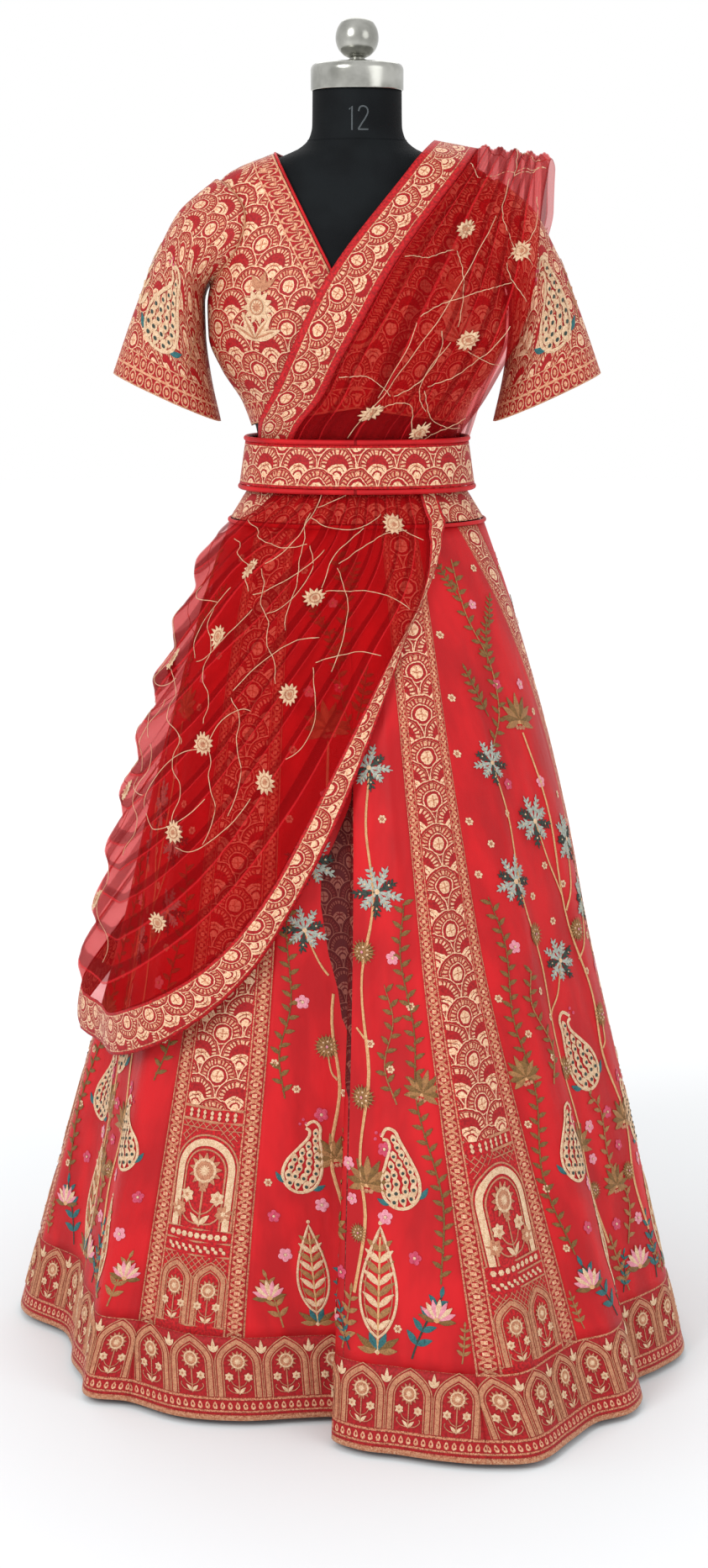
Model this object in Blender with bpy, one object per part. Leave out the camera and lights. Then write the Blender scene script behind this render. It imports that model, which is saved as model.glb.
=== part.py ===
"""Lehenga choli with a draped dupatta on a limbless dress form.

Every piece is one closed solid with its own name. Units are metres, Z is up, the front
faces -Y and +X is the wearer's left. Angles phi are in degrees from the front (-Y) towards +X.
Cloth is a wall: a surface of points, thickened outward along its normals.
"""
import math

import bpy
import numpy as np

# Wall thickness of each cloth, and half the gap that is left at a seam.
SKIRT_WALL = 0.0016
CHOLI_WALL = 0.0015
NET_WALL = 0.0010
TRIM_WALL = 0.0020
HALF_SEAM = 0.00015

# Form
# z, half width, front depth, back depth, squareness of the ring
TORSO = np.array([
    (0.900, 0.070, 0.055, 0.058, 2.2),
    (0.908, 0.118, 0.086, 0.094, 2.2),
    (0.930, 0.140, 0.100, 0.110, 2.2),
    (0.965, 0.140, 0.101, 0.109, 2.2),
    (1.000, 0.132, 0.096, 0.102, 2.2),
    (1.030, 0.121, 0.090, 0.094, 2.2),
    (1.060, 0.1135, 0.086, 0.088, 2.2),
    (1.090, 0.1150, 0.087, 0.087, 2.2),
    (1.130, 0.1270, 0.094, 0.090, 2.2),
    (1.170, 0.1520, 0.106, 0.094, 2.3),
    (1.205, 0.1660, 0.117, 0.096, 2.3),
    (1.240, 0.1670, 0.118, 0.097, 2.3),
    (1.270, 0.1625, 0.112, 0.097, 2.3),
    (1.300, 0.1590, 0.100, 0.096, 2.3),
    (1.330, 0.1590, 0.086, 0.092, 2.3),
    (1.350, 0.1580, 0.076, 0.086, 2.3),
    (1.365, 0.1550, 0.069, 0.080, 2.3),
    (1.378, 0.1470, 0.063, 0.073, 2.3),
    (1.390, 0.1270, 0.059, 0.066, 2.2),
    (1.3985, 0.1045, 0.0565, 0.061, 2.2),
    (1.403, 0.0930, 0.0555, 0.0585, 2.2),
    (1.409, 0.0780, 0.054, 0.056, 2.1),
    (1.416, 0.0640, 0.052, 0.053, 2.0),
    (1.426, 0.0545, 0.051, 0.051, 2.0),
    (1.440, 0.0510, 0.050, 0.050, 2.0),
    (1.478, 0.0505, 0.050, 0.050, 2.0)])
# Turned profiles, as radius and height.
CAP_PROFILE = [(0.0, 1.4783), (0.0520, 1.4783), (0.0525, 1.4800), (0.0525, 1.5010),
               (0.0505, 1.5060), (0.0450, 1.5085), (0.0, 1.5090)]
FINIAL_PROFILE = [(0.0, 1.5093), (0.0130, 1.5093), (0.0130, 1.5115), (0.0085, 1.5135),
                  (0.0150, 1.5170), (0.0210, 1.5235), (0.0240, 1.5320), (0.0240, 1.5400),
                  (0.0215, 1.5480), (0.0160, 1.5550), (0.0080, 1.5585), (0.0, 1.5592)]
POLE_PROFILE = [(0.0, 0.0263), (0.0125, 0.0263), (0.0125, 0.8997), (0.0, 0.8997)]
BASE_PROFILE = [(0.0, 0.0), (0.1500, 0.0), (0.1500, 0.0060), (0.1420, 0.0110),
                (0.0300, 0.0160), (0.0220, 0.0260), (0.0, 0.0260)]

# Choli
CHOLI_OFFSET = 0.0032       # from the form to the inside of the choli
SHOULDER_EASE = 0.0022      # more than that on the shoulders
CHOLI_HEM = 1.128
SIDE_HEM = 1.104
V_BOTTOM = 1.220
NECK_POINT = (0.0930, 1.403)
SHOULDER_TIP = 1.376
ARMPIT = 1.262
ARMHOLE_TURN = 27.0         # how far the armhole comes forward of the side, in degrees
BACK_NECK = 1.386
SLEEVE_INSET = 0.0022       # the sleeve starts this far inside the armhole
# along, outer x, outer z, inner x, inner z, half depth
SLEEVE = np.array([
    (0.00, 0.156, 1.376, 0.168, 1.264, 0.055),
    (0.20, 0.195, 1.352, 0.1765, 1.246, 0.062),
    (0.45, 0.226, 1.301, 0.1755, 1.205, 0.064),
    (0.70, 0.253, 1.237, 0.1700, 1.160, 0.062),
    (1.00, 0.280, 1.163, 0.1590, 1.108, 0.056)])

# Waist
# z, half width, front depth, back depth of the waistband's inner face
WAISTBAND = np.array([
    (0.9985, 0.1450, 0.1105, 0.1165),
    (1.0150, 0.1350, 0.1022, 0.1075),
    (1.0340, 0.1235, 0.0930, 0.0960),
    (1.0580, 0.1150, 0.0875, 0.0893),
    (1.0780, 0.1153, 0.0877, 0.0886)])
BELT = np.array([
    (1.0375, 0.1345, 0.1060, 0.1080),
    (1.0600, 0.1300, 0.1020, 0.1040),
    (1.0860, 0.1275, 0.0995, 0.1005)])
BELT_CORD = 0.0030
NECK_CORD = 0.0016
WAIST_CORD = 0.0024

# Skirt
SKIRT_TOP = 0.9925
SKIRT_HEM = 0.0080
BORDER_TOP = 0.1000
WAIST_RING = (0.1465, 0.1120, 0.1180)
HEM_RING = (0.4000, 0.3850, 0.3900)
RING_POWER = 2.2
# fall from the waist (0) to the hem (1), share of the flare, share of the fold depth
FLARE = np.array([
    (0.000, 0.000, 0.00),
    (0.097, 0.135, 0.03),
    (0.218, 0.275, 0.11),
    (0.351, 0.405, 0.24),
    (0.496, 0.520, 0.40),
    (0.655, 0.670, 0.60),
    (0.817, 0.825, 0.79),
    (1.000, 1.000, 1.00)])
# Plan of the hem: angle and radius at the hem, angle at the waist, angle at MIDDLE of the fall
# and, at a seam, the panel that starts there. Where the angle turns back the cloth is folded.
MIDDLE = 0.40
BOW_SCALE = 1 / (MIDDLE * (1 - MIDDLE)**2)
PLAN = [
    (-92.0, 0.414, -106.0, -99.0, "kali_red_1"),
    (-83.0, 0.362, -96.0, -90.0, ""),
    (-75.5, 0.354, -88.0, -81.0, ""),
    (-68.0, 0.364, -80.0, -73.0, ""),
    (-60.5, 0.368, -72.0, -65.0, ""),
    (-53.0, 0.388, -64.0, -56.0, ""),
    (-46.5, 0.360, -56.0, -47.0, "kali_gold_1"),
    (-35.0, 0.350, -45.0, -35.5, ""),
    (-23.5, 0.326, -34.0, -24.0, "kali_red_2"),
    (-13.0, 0.299, -20.0, -14.0, ""),
    (-4.0, 0.290, -6.0, -4.0, ""),
    (-1.5, 0.310, -3.0, -1.5, ""),
    (-4.5, 0.345, -1.0, -1.5, ""),
    (0.5, 0.372, 2.0, 2.0, ""),
    (6.5, 0.386, 5.5, 6.0, ""),
    (13.0, 0.410, 9.5, 10.5, ""),
    (19.3, 0.432, 13.5, 15.0, "kali_gold_2"),
    (26.0, 0.446, 19.5, 20.0, ""),
    (34.0, 0.421, 26.0, 25.5, ""),
    (41.5, 0.405, 33.0, 31.0, "kali_red_3"),
    (48.0, 0.416, 37.5, 38.0, ""),
    (54.0, 0.404, 41.0, 45.0, ""),
    (59.5, 0.376, 44.0, 52.0, ""),
    (66.0, 0.388, 47.0, 60.0, ""),
    (74.0, 0.404, 50.0, 69.0, ""),
    (83.0, 0.397, 53.0, 77.0, ""),
    (92.0, 0.385, 56.0, 85.0, "kali_gold_3"),
    (100.0, 0.398, 63.0, 92.0, ""),
    (108.0, 0.388, 71.0, 98.0, "kali_red_4"),
    (117.0, 0.372, 82.0, 106.0, ""),
    (126.0, 0.402, 94.0, 114.0, ""),
    (134.0, 0.408, 105.0, 122.0, ""),
    (142.0, 0.384, 116.0, 130.0, "kali_gold_4"),
    (151.0, 0.374, 124.0, 139.0, ""),
    (160.0, 0.400, 132.0, 147.0, "kali_red_5"),
    (170.0, 0.410, 145.0, 158.0, ""),
    (179.0, 0.384, 158.0, 168.0, ""),
    (188.0, 0.370, 170.0, 179.0, ""),
    (197.0, 0.396, 182.0, 188.0, "kali_gold_5"),
    (206.0, 0.408, 190.0, 197.0, ""),
    (215.0, 0.386, 198.0, 206.0, "kali_red_6"),
    (224.0, 0.368, 210.0, 216.0, ""),
    (233.0, 0.394, 221.0, 226.0, ""),
    (241.0, 0.410, 231.0, 236.0, ""),
    (249.0, 0.398, 240.0, 245.0, "kali_gold_6"),
    (258.5, 0.425, 247.0, 253.0, "")]

# Dupatta
# row: border edge x, z; net edge x, z; far edge x, z; how far forward (1 front, -1 back)
UPPER = np.array([
    (-0.1090, 1.0640, -0.0780, 1.0640, 0.1130, 1.0640, 1.00),
    (-0.1125, 1.0850, -0.0745, 1.0840, 0.1140, 1.0830, 1.00),
    (-0.1120, 1.1060, -0.0660, 1.1050, 0.1210, 1.1010, 1.00),
    (-0.0930, 1.1480, -0.0390, 1.1400, 0.1430, 1.1330, 1.00),
    (-0.0720, 1.1950, -0.0200, 1.1780, 0.1640, 1.1720, 1.00),
    (-0.0420, 1.2570, 0.0060, 1.2240, 0.1840, 1.2120, 1.00),
    (-0.0150, 1.2990, 0.0340, 1.2740, 0.1960, 1.2560, 1.00),
    (0.0140, 1.3360, 0.0640, 1.3180, 0.2020, 1.3020, 1.00),
    (0.0450, 1.3740, 0.0930, 1.3560, 0.2060, 1.3450, 1.00),
    (0.0700, 1.4050, 0.1180, 1.3880, 0.2120, 1.3780, 0.92),
    (0.0880, 1.4230, 0.1370, 1.4140, 0.2210, 1.4030, 0.05),
    (0.0900, 1.4100, 0.1400, 1.4030, 0.2290, 1.3920, -0.88),
    (0.0820, 1.3600, 0.1340, 1.3560, 0.2290, 1.3480, -1.00),
    (0.0700, 1.2900, 0.1220, 1.2880, 0.2120, 1.2820, -1.00),
    (0.0480, 1.2000, 0.0990, 1.2000, 0.1800, 1.1960, -1.00),
    (0.0270, 1.1100, 0.0760, 1.1100, 0.1420, 1.1070, -1.00),
    (0.0180, 1.0200, 0.0640, 1.0200, 0.1220, 1.0180, -1.00),
    (0.0160, 0.9300, 0.0620, 0.9300, 0.1250, 0.9290, -1.00),
    (0.0160, 0.8400, 0.0640, 0.8400, 0.1330, 0.8395, -1.00),
    (0.0160, 0.7500, 0.0660, 0.7500, 0.1420, 0.7500, -1.00),
    (0.0160, 0.6600, 0.0680, 0.6600, 0.1500, 0.6600, -1.00)])
# z, front depth, back depth, half width towards -X, half width towards +X, squareness
UPPER_SHAPE = np.array([
    (0.660, 0.2500, 0.2540, 0.2900, 0.3000, 2.40),
    (0.750, 0.2300, 0.2320, 0.2700, 0.2900, 2.40),
    (0.840, 0.2050, 0.2080, 0.2500, 0.2800, 2.40),
    (0.930, 0.1720, 0.1780, 0.2200, 0.2700, 2.40),
    (0.990, 0.1400, 0.1460, 0.1800, 0.2620, 2.40),
    (1.035, 0.1200, 0.1240, 0.1500, 0.2560, 2.30),
    (1.064, 0.0900, 0.1185, 0.1182, 0.1178, 2.20),
    (1.084, 0.0912, 0.1175, 0.1196, 0.1194, 2.20),
    (1.095, 0.0935, 0.1165, 0.1210, 0.1225, 2.20),
    (1.112, 0.0985, 0.1160, 0.1290, 0.1400, 2.25),
    (1.140, 0.1055, 0.1150, 0.1400, 0.1640, 2.35),
    (1.170, 0.1170, 0.1140, 0.1580, 0.1880, 2.40),
    (1.205, 0.1280, 0.1130, 0.1730, 0.2120, 2.40),
    (1.255, 0.1275, 0.1140, 0.1725, 0.2300, 2.40),
    (1.300, 0.1120, 0.1140, 0.1700, 0.2400, 2.40),
    (1.345, 0.0930, 0.1070, 0.1680, 0.2450, 2.40),
    (1.376, 0.0800, 0.0970, 0.1600, 0.2500, 2.40),
    (1.400, 0.0700, 0.0860, 0.1500, 0.2550, 2.40),
    (1.425, 0.0600, 0.0760, 0.1500, 0.2600, 2.40)])
UPPER_BACK_WIDTH = 0.270
UPPER_PLEATS = 5
# row, pleat height
UPPER_PLEAT = np.array([(0, 0.0012), (2, 0.0022), (4, 0.0045), (7, 0.0060), (10, 0.0046),
                        (12, 0.0050), (14, 0.0042), (16, 0.0034), (20, 0.0060)])
# row: top edge angle, z; net edge angle, z; border edge angle, z
SWAG = np.array([
    (-50.0, 1.0540, 40.0, 1.0540, 51.0, 1.0540),
    (-53.0, 1.0300, 38.5, 1.0120, 48.5, 1.0160),
    (-57.0, 1.0170, 33.0, 0.9560, 40.0, 0.9700),
    (-61.0, 1.0070, 24.5, 0.9090, 30.5, 0.9300),
    (-65.0, 0.9990, 12.0, 0.8560, 18.0, 0.8730),
    (-69.0, 0.9930, 2.0, 0.7980, 8.0, 0.8030),
    (-73.0, 0.9880, -7.5, 0.7300, -0.3, 0.7310),
    (-77.0, 0.9840, -15.6, 0.6650, -8.2, 0.6590),
    (-81.0, 0.9810, -23.8, 0.5950, -17.2, 0.5860),
    (-85.0, 0.9790, -33.2, 0.5340, -25.7, 0.5190),
    (-89.0, 0.9780, -43.2, 0.4900, -36.7, 0.4610),
    (-93.0, 0.9780, -55.0, 0.4560, -49.8, 0.4140),
    (-97.0, 0.9790, -69.0, 0.4320, -66.0, 0.3870),
    (-101.0, 0.9820, -86.0, 0.4280, -84.5, 0.3820),
    (-105.0, 0.9860, -103.0, 0.4520, -103.5, 0.4050),
    (-109.0, 0.9920, -119.0, 0.5200, -122.0, 0.4760),
    (-113.0, 0.9990, -133.0, 0.6300, -138.0, 0.5950),
    (-117.0, 1.0090, -146.0, 0.7800, -153.0, 0.7550),
    (-121.0, 1.0260, -157.0, 0.9300, -166.0, 0.9200),
    (-125.0, 1.0540, -164.0, 1.0540, -173.0, 1.0540)])
SWAG_FOLDS = 8
# row, fold height, how far the cloth bellies out between its edges, how far it stands off
SWAG_FOLD = np.array([(0, 0.0014, 0.000, 0.0016), (1, 0.0028, 0.000, 0.0040),
                      (3, 0.0070, 0.002, 0.0040), (6, 0.0095, 0.007, 0.0060),
                      (12, 0.0120, 0.009, 0.0200), (16, 0.0100, 0.007, 0.0090),
                      (18, 0.0040, 0.001, 0.0045), (18.6, 0.0022, 0.000, 0.0034),
                      (19, 0.0014, 0.000, 0.0014)])

# Colours for the plain materials
RED = (0.60, 0.02, 0.03)
GOLD_CLOTH = (0.62, 0.30, 0.20)
NET_RED = (0.66, 0.03, 0.04)
BLACK = (0.02, 0.02, 0.025)
STEEL = (0.60, 0.60, 0.60)


def table(rows, x):
    """Monotone cubic interpolation of every column of rows over its first column."""
    xs, ys = rows[:, 0], rows[:, 1:]
    x = np.clip(np.asarray(x, float), xs[0], xs[-1])
    step = np.diff(xs)[:, None]
    slope = np.diff(ys, axis=0) / step
    tangent = np.zeros_like(ys)
    tangent[0], tangent[-1] = slope[0], slope[-1]
    rising = slope[:-1] * slope[1:] > 0
    w1, w2 = 2 * step[1:] + step[:-1], step[1:] + 2 * step[:-1]
    safe = np.where(rising, slope[:-1], 1.0), np.where(rising, slope[1:], 1.0)
    tangent[1:-1] = np.where(rising, (w1 + w2) / (w1 / safe[0] + w2 / safe[1]), 0.0)
    i = np.clip(np.searchsorted(xs, x, side="right") - 1, 0, len(xs) - 2)
    h = (xs[i + 1] - xs[i])[..., None]
    f = (x - xs[i])[..., None] / h
    return ((2 * f**3 - 3 * f**2 + 1) * ys[i] + (f**3 - 2 * f**2 + f) * h * tangent[i]
            + (3 * f**2 - 2 * f**3) * ys[i + 1] + (f**3 - f**2) * h * tangent[i + 1])


def indexed(rows):
    """Put the row number in front of each row, so that table() can run along the rows."""
    return np.column_stack([np.arange(len(rows), dtype=float), rows])


def ring_radius(phi, half_width, front, back, power):
    """Radius at angle phi of a rounded ring that is deeper or flatter front and back."""
    s, c = np.sin(np.radians(phi)), np.cos(np.radians(phi))
    depth = np.where(c > 0, front, back)
    return (np.abs(s / half_width)**power + np.abs(c / depth)**power)**(-1.0 / power)


def polar(phi, radius, z):
    """Point at an angle from the front, a radius and a height."""
    a = np.radians(phi)
    return np.stack([radius * np.sin(a), -radius * np.cos(a), z + 0 * radius], axis=-1)


def normals_of(surface, u, v, du=1e-4, dv=1e-4):
    """Unit normals of surface(u, v), facing away from the Z axis or upward."""
    a = surface(u + du, v) - surface(u - du, v)
    b = surface(u, v + dv) - surface(u, v - dv)
    n = np.cross(a, b)
    n /= np.maximum(np.linalg.norm(n, axis=-1, keepdims=True), 1e-12)
    return n


def torso(phi, z):
    """Point on the form."""
    a, f, b, p = np.moveaxis(table(TORSO, z), -1, 0)
    return polar(phi, ring_radius(phi, a, f, b, p), z)


def on_torso(phi, z, off):
    """Point at a distance off the form."""
    phi, z = np.broadcast_arrays(np.asarray(phi, float), np.asarray(z, float))
    return torso(phi, z) + normals_of(torso, phi, z, 0.05, 2e-4) * (off + 0 * z)[..., None]


def angle_at(x, z, back=False):
    """Angle at which the form's ring at height z is x to the side."""
    a, f, b, p = np.moveaxis(table(TORSO, z), -1, 0)
    share = np.clip(x / a, 0.0, 1.0)
    y = np.where(back, b, f) * (1 - share**p)**(1 / p)
    phi = np.degrees(np.arctan2(x, y))
    return np.where(back, 180 - phi, phi)


def mesh_object(name, verts, faces, color, metallic=0.0, roughness=0.7):
    """Make one named object with its own plain material."""
    mesh = bpy.data.meshes.new(name)
    mesh.from_pydata([tuple(map(float, p)) for p in verts], [], faces)
    mesh.validate()
    obj = bpy.data.objects.new(name, mesh)
    bpy.context.scene.collection.objects.link(obj)
    material = bpy.data.materials.new(name)
    material.use_nodes = True
    shader = material.node_tree.nodes["Principled BSDF"]
    shader.inputs["Base Color"].default_value = (*color, 1.0)
    shader.inputs["Metallic"].default_value = metallic
    shader.inputs["Roughness"].default_value = roughness
    mesh.materials.append(material)
    return obj


def wall(name, points, normals, faces, thickness, color, seam=True, **look):
    """Thicken an open surface outward into a closed wall.

    The points on its free edges first move inward by half a seam gap.
    """
    points = np.array(points, float)
    faces = [part for face in faces for part in split_quad(points, face)]
    edges = {}
    for face in faces:
        for a, b in zip(face, face[1:] + face[:1]):
            edges[(a, b)] = edges.get((a, b), 0) + 1
    free = [(a, b) for a, b in edges if (b, a) not in edges]
    rim = {a for a, _ in free} | {b for _, b in free}
    if seam:
        points = points + HALF_SEAM * inward_pull(points, edges, free, rim)
    count = len(points)
    verts = np.vstack([points, points + normals * thickness])
    solid = [tuple(i + count for i in face) for face in faces]
    solid += [tuple(reversed(face)) for face in faces]
    solid += [(a, b, b + count, a + count) for a, b in free]
    return mesh_object(name, verts, solid, color, **look)


def split_quad(points, face):
    """Two triangles across a quad's shorter diagonal, so that both sides of a wall match."""
    a, b, c, d = face
    if np.linalg.norm(points[a] - points[c]) <= np.linalg.norm(points[b] - points[d]):
        return (a, b, c), (a, c, d)
    return (a, b, d), (b, c, d)


def inward_pull(points, edges, free, rim):
    """Directions that shrink a surface from its free edges; a corner leaves both its edges."""
    pull = np.zeros_like(points)

    def add(start, end):
        step = points[end] - points[start]
        pull[start] += step / max(np.linalg.norm(step), 1e-9)
    for a, b in edges:
        if (a in rim) != (b in rim):
            add(*((a, b) if a in rim else (b, a)))
    length = np.linalg.norm(pull, axis=1, keepdims=True)
    inner = length[:, 0] > 0
    pull[inner] /= length[inner]
    for a, b in free:
        for start, end in ((a, b), (b, a)):
            if not inner[start]:
                add(start, end)
    return pull


def grid_faces(rows, columns, closed=False):
    """Quads of a grid whose points run along the columns first."""
    last = columns if closed else columns - 1
    return [(r * columns + c, r * columns + (c + 1) % columns,
             (r + 1) * columns + (c + 1) % columns, (r + 1) * columns + c)
            for r in range(rows - 1) for c in range(last)]


def grid_wall(name, surface, us, vs, thickness, color, outward=1.0, closed=False, **look):
    """Wall from surface(u, v) sampled on a grid; outward is the side it thickens to."""
    v, u = np.meshgrid(vs, us, indexing="ij")
    points = surface(u, v).reshape(-1, 3)
    normals = normals_of(surface, u, v).reshape(-1, 3) * outward
    faces = grid_faces(len(vs), len(us), closed)
    if outward < 0:
        faces = [tuple(reversed(face)) for face in faces]
    return wall(name, points, normals, faces, thickness, color, **look)


def turned(name, profile, sides, color, **look):
    """Solid of revolution about Z from a profile of radius and height."""
    verts, rings = [], []
    for radius, z in profile:
        if radius == 0.0:
            rings.append([len(verts)])
            verts.append((0.0, 0.0, z))
        else:
            rings.append(list(range(len(verts), len(verts) + sides)))
            verts += [(radius * math.cos(2 * math.pi * k / sides),
                       radius * math.sin(2 * math.pi * k / sides), z) for k in range(sides)]
    return ring_solid(name, verts, rings, color, **look)


def ring_solid(name, verts, rings, color, **look):
    """Closed solid from stacked rings of points; a ring of one point closes an end."""
    faces = []
    for low, high in zip(rings, rings[1:]):
        count = max(len(low), len(high))
        for k in range(count):
            n = (k + 1) % count
            corner = [low[k % len(low)], low[n % len(low)], high[n % len(high)], high[k % len(high)]]
            faces.append(tuple(dict.fromkeys(corner)))
    return mesh_object(name, verts, faces, color, **look)


def cord(name, path, radius, sides, color, closed=True, **look):
    """Round cord along a path of points."""
    path = np.asarray(path, float)
    ahead, behind = np.roll(path, -1, axis=0), np.roll(path, 1, axis=0)
    along = ahead - behind
    along /= np.linalg.norm(along, axis=1, keepdims=True)
    up = np.array([0.0, 0.0, 1.0])
    side = np.cross(along, up)
    flat = np.linalg.norm(side, axis=1, keepdims=True)
    side /= np.maximum(flat, 1e-9)
    lift = np.cross(side, along)
    turn = np.arange(sides) * 2 * math.pi / sides
    verts = (path[:, None] + radius * (np.cos(turn)[None, :, None] * side[:, None]
                                       + np.sin(turn)[None, :, None] * lift[:, None])).reshape(-1, 3)
    faces = []
    for i in range(len(path)):
        j = (i + 1) % len(path)
        for k in range(sides):
            n = (k + 1) % sides
            faces.append((i * sides + k, j * sides + k, j * sides + n, i * sides + n))
    return mesh_object(name, verts, faces, color, **look)


def build_form():
    """Torso, neck cap, finial, pole and base."""
    phis = np.arange(0.0, 360.0, 18.0)
    heights = TORSO[:, 0]
    verts, rings = [(0.0, 0.0, heights[0])], [[0]]
    for z in heights:
        rings.append(list(range(len(verts), len(verts) + len(phis))))
        verts += [tuple(p) for p in torso(phis, np.full(len(phis), z))]
    rings.append([len(verts)])
    verts.append((0.0, 0.0, heights[-1]))
    ring_solid("form_torso", verts, rings, BLACK, roughness=0.75)
    turned("form_neck_cap", CAP_PROFILE, 24, STEEL, metallic=1.0, roughness=0.25)
    turned("form_finial", FINIAL_PROFILE, 16, STEEL, metallic=1.0, roughness=0.15)
    turned("form_pole", POLE_PROFILE, 12, STEEL, metallic=1.0, roughness=0.3)
    turned("form_base", BASE_PROFILE, 32, BLACK, roughness=0.5)


def choli_offset(z):
    """Distance from the form to the inside of the choli at a height."""
    share = np.clip((z - 1.325) / 0.045, 0, 1)
    return CHOLI_OFFSET + SHOULDER_EASE * share * share * (3 - 2 * share)


def choli_inner(v, back):
    """Centre line and neckline of a choli panel, as angle and height."""
    bend = 0.85 if back else 0.35
    neck_low, hem = (BACK_NECK, SIDE_HEM) if back else (V_BOTTOM, CHOLI_HEM)
    rise = np.interp(v, [0.0, 0.5, bend], [0.0, 0.40, 1.0]) if back else np.clip(v / bend, 0, 1)
    up = np.clip((v - bend) / (1 - bend), 0, 1)
    z = np.where(v < bend, hem + (neck_low - hem) * rise,
                 neck_low + (NECK_POINT[1] - neck_low) * up)
    x = NECK_POINT[0] * up**(0.6 if back else 0.95)
    return np.where(v < bend, 180.0 if back else 0.0, angle_at(x, z, back)), z


def choli_outer(v, back):
    """Side seam and armhole of a choli panel, as angle and height."""
    low = np.clip(v / 0.5, 0, 1)
    up = np.clip((v - 0.5) / 0.5, 0, 1)
    mid, half = 0.5 * (ARMPIT + SHOULDER_TIP), 0.5 * (SHOULDER_TIP - ARMPIT)
    z = np.where(v < 0.5, SIDE_HEM + (ARMPIT - SIDE_HEM) * low, mid - half * np.cos(math.pi * up))
    turn = np.where(v < 0.5, 0.0, ARMHOLE_TURN * np.sin(math.pi * up))
    return 90.0 + (turn if back else -turn), z


def choli_domain(u, v, back=False):
    """Angle and height on a choli panel, u from the middle outward and v from hem to shoulder."""
    phi_in, z_in = choli_inner(v, back)
    phi_out, z_out = choli_outer(v, back)
    return (1 - u) * phi_in + u * phi_out, (1 - u) * z_in + u * z_out


def choli_panel(name, back, us, vs, color):
    """Front or back of the choli, both halves joined along the middle below the neckline."""
    bend = 0.85 if back else 0.35
    points, normals, faces, index = [], [], [], {}
    for side in (1, -1):
        for j, v in enumerate(vs):
            for i, u in enumerate(us):
                shared = i == 0 and v <= bend + 1e-9
                if shared and side < 0:
                    index[side, j, i] = index[1, j, i]
                    continue
                phi, z = choli_domain(np.array([u]), np.array([v]), back)
                index[side, j, i] = len(points)
                mirror = np.array([side, 1, 1])
                points.append(on_torso(phi, z, choli_offset(z))[0] * mirror)
                n = normals_of(torso, phi, z, 0.05, 2e-4)[0] * mirror
                if shared:
                    n[0] = 0.0
                normals.append(n / np.linalg.norm(n))
    for side in (1, -1):
        for j in range(len(vs) - 1):
            for i in range(len(us) - 1):
                face = (index[side, j, i], index[side, j, i + 1],
                        index[side, j + 1, i + 1], index[side, j + 1, i])
                faces.append(face if (side > 0) != back else tuple(reversed(face)))
    wall(name, np.array(points), np.array(normals), faces, CHOLI_WALL, color)


def armhole(turn):
    """Armhole loop at +X: 0 at the shoulder tip, 90 at the front, 180 at the armpit."""
    a = np.radians(turn)
    mid, half = 0.5 * (ARMPIT + SHOULDER_TIP), 0.5 * (SHOULDER_TIP - ARMPIT)
    tight = 1 - SLEEVE_INSET / half
    phi = 90.0 - ARMHOLE_TURN * tight * np.sin(a)
    return phi, mid + half * tight * np.cos(a)


def sleeve(turn, along):
    """Point on the sleeve at +X; along runs from the armhole to the cuff."""
    phi, z = armhole(turn)
    rise = choli_offset(z) + 0.0060 * np.clip(along / 0.05, 0, 1)
    start = on_torso(phi, z, 0.0) + normals_of(torso, phi, z, 0.05, 2e-4) * rise[..., None]
    ox, oz, ix, iz, depth = np.moveaxis(table(SLEEVE, along), -1, 0)
    c, s = np.cos(np.radians(turn)), np.sin(np.radians(turn))
    ripple = 1 + 0.07 * along * np.sin(3 * np.radians(turn) + 0.8) * (1 - np.abs(c))
    ring = np.stack([(ox + ix) / 2 + (ox - ix) / 2 * c, -depth * s * ripple,
                     (oz + iz) / 2 + (oz - iz) / 2 * c], axis=-1)
    share = np.clip((along - 0.04) / 0.20, 0, 1)
    share = (share * share * (3 - 2 * share))[..., None]
    return start * (1 - share) + ring * share


def build_choli():
    """Front, back, two sleeves and the piping round the neck."""
    us = np.linspace(0, 1, 8)
    low_rows = [0, 0.10, 0.19, 0.28, 0.35, 0.43]
    armhole_rows = [*np.linspace(0.5, 0.95, 10), 0.975, 1.0]
    choli_panel("choli_front", False, us, low_rows + armhole_rows, GOLD_CLOTH)
    choli_panel("choli_back", True, us, low_rows + armhole_rows, GOLD_CLOTH)
    turns = np.arange(0.0, 360.0, 20.0)
    alongs = np.array([0.0, 0.05, 0.11, 0.18, 0.26, 0.40, 0.60, 0.80, 1.0])
    for name, side in (("sleeve_left", 1.0), ("sleeve_right", -1.0)):
        def surface(u, v, side=side):
            return sleeve(u, v) * np.array([side, 1.0, 1.0])
        v, u = np.meshgrid(alongs, turns, indexing="ij")
        normals = normals_of(surface, u, v, 0.05, 1e-3).reshape(-1, 3)
        centre = surface(u, v).mean(axis=1, keepdims=True)
        out = ((surface(u, v) - centre).reshape(-1, 3) * normals).sum(axis=1)
        sign = 1.0 if out.sum() > 0 else -1.0
        faces = grid_faces(len(alongs), len(turns), closed=True)
        if sign < 0:
            faces = [tuple(reversed(face)) for face in faces]
        wall(name, surface(u, v).reshape(-1, 3), normals * sign, faces, CHOLI_WALL, GOLD_CLOTH)
    neck = [(v, False) for v in (0.35, 0.39, 0.43, *armhole_rows[:-1])]
    neck += [(v, True) for v in (1.0, 0.975, 0.95, 0.90)]
    side = np.array([neck_edge(v, back) for v, back in neck])
    middle_back = neck_edge(0.85, True) * np.array([0.0, 1.0, 1.0])
    loop = np.vstack([side, middle_back, side[:0:-1] * np.array([-1.0, 1.0, 1.0])])
    cord("neck_piping", loop, NECK_CORD, 6, RED)


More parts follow.
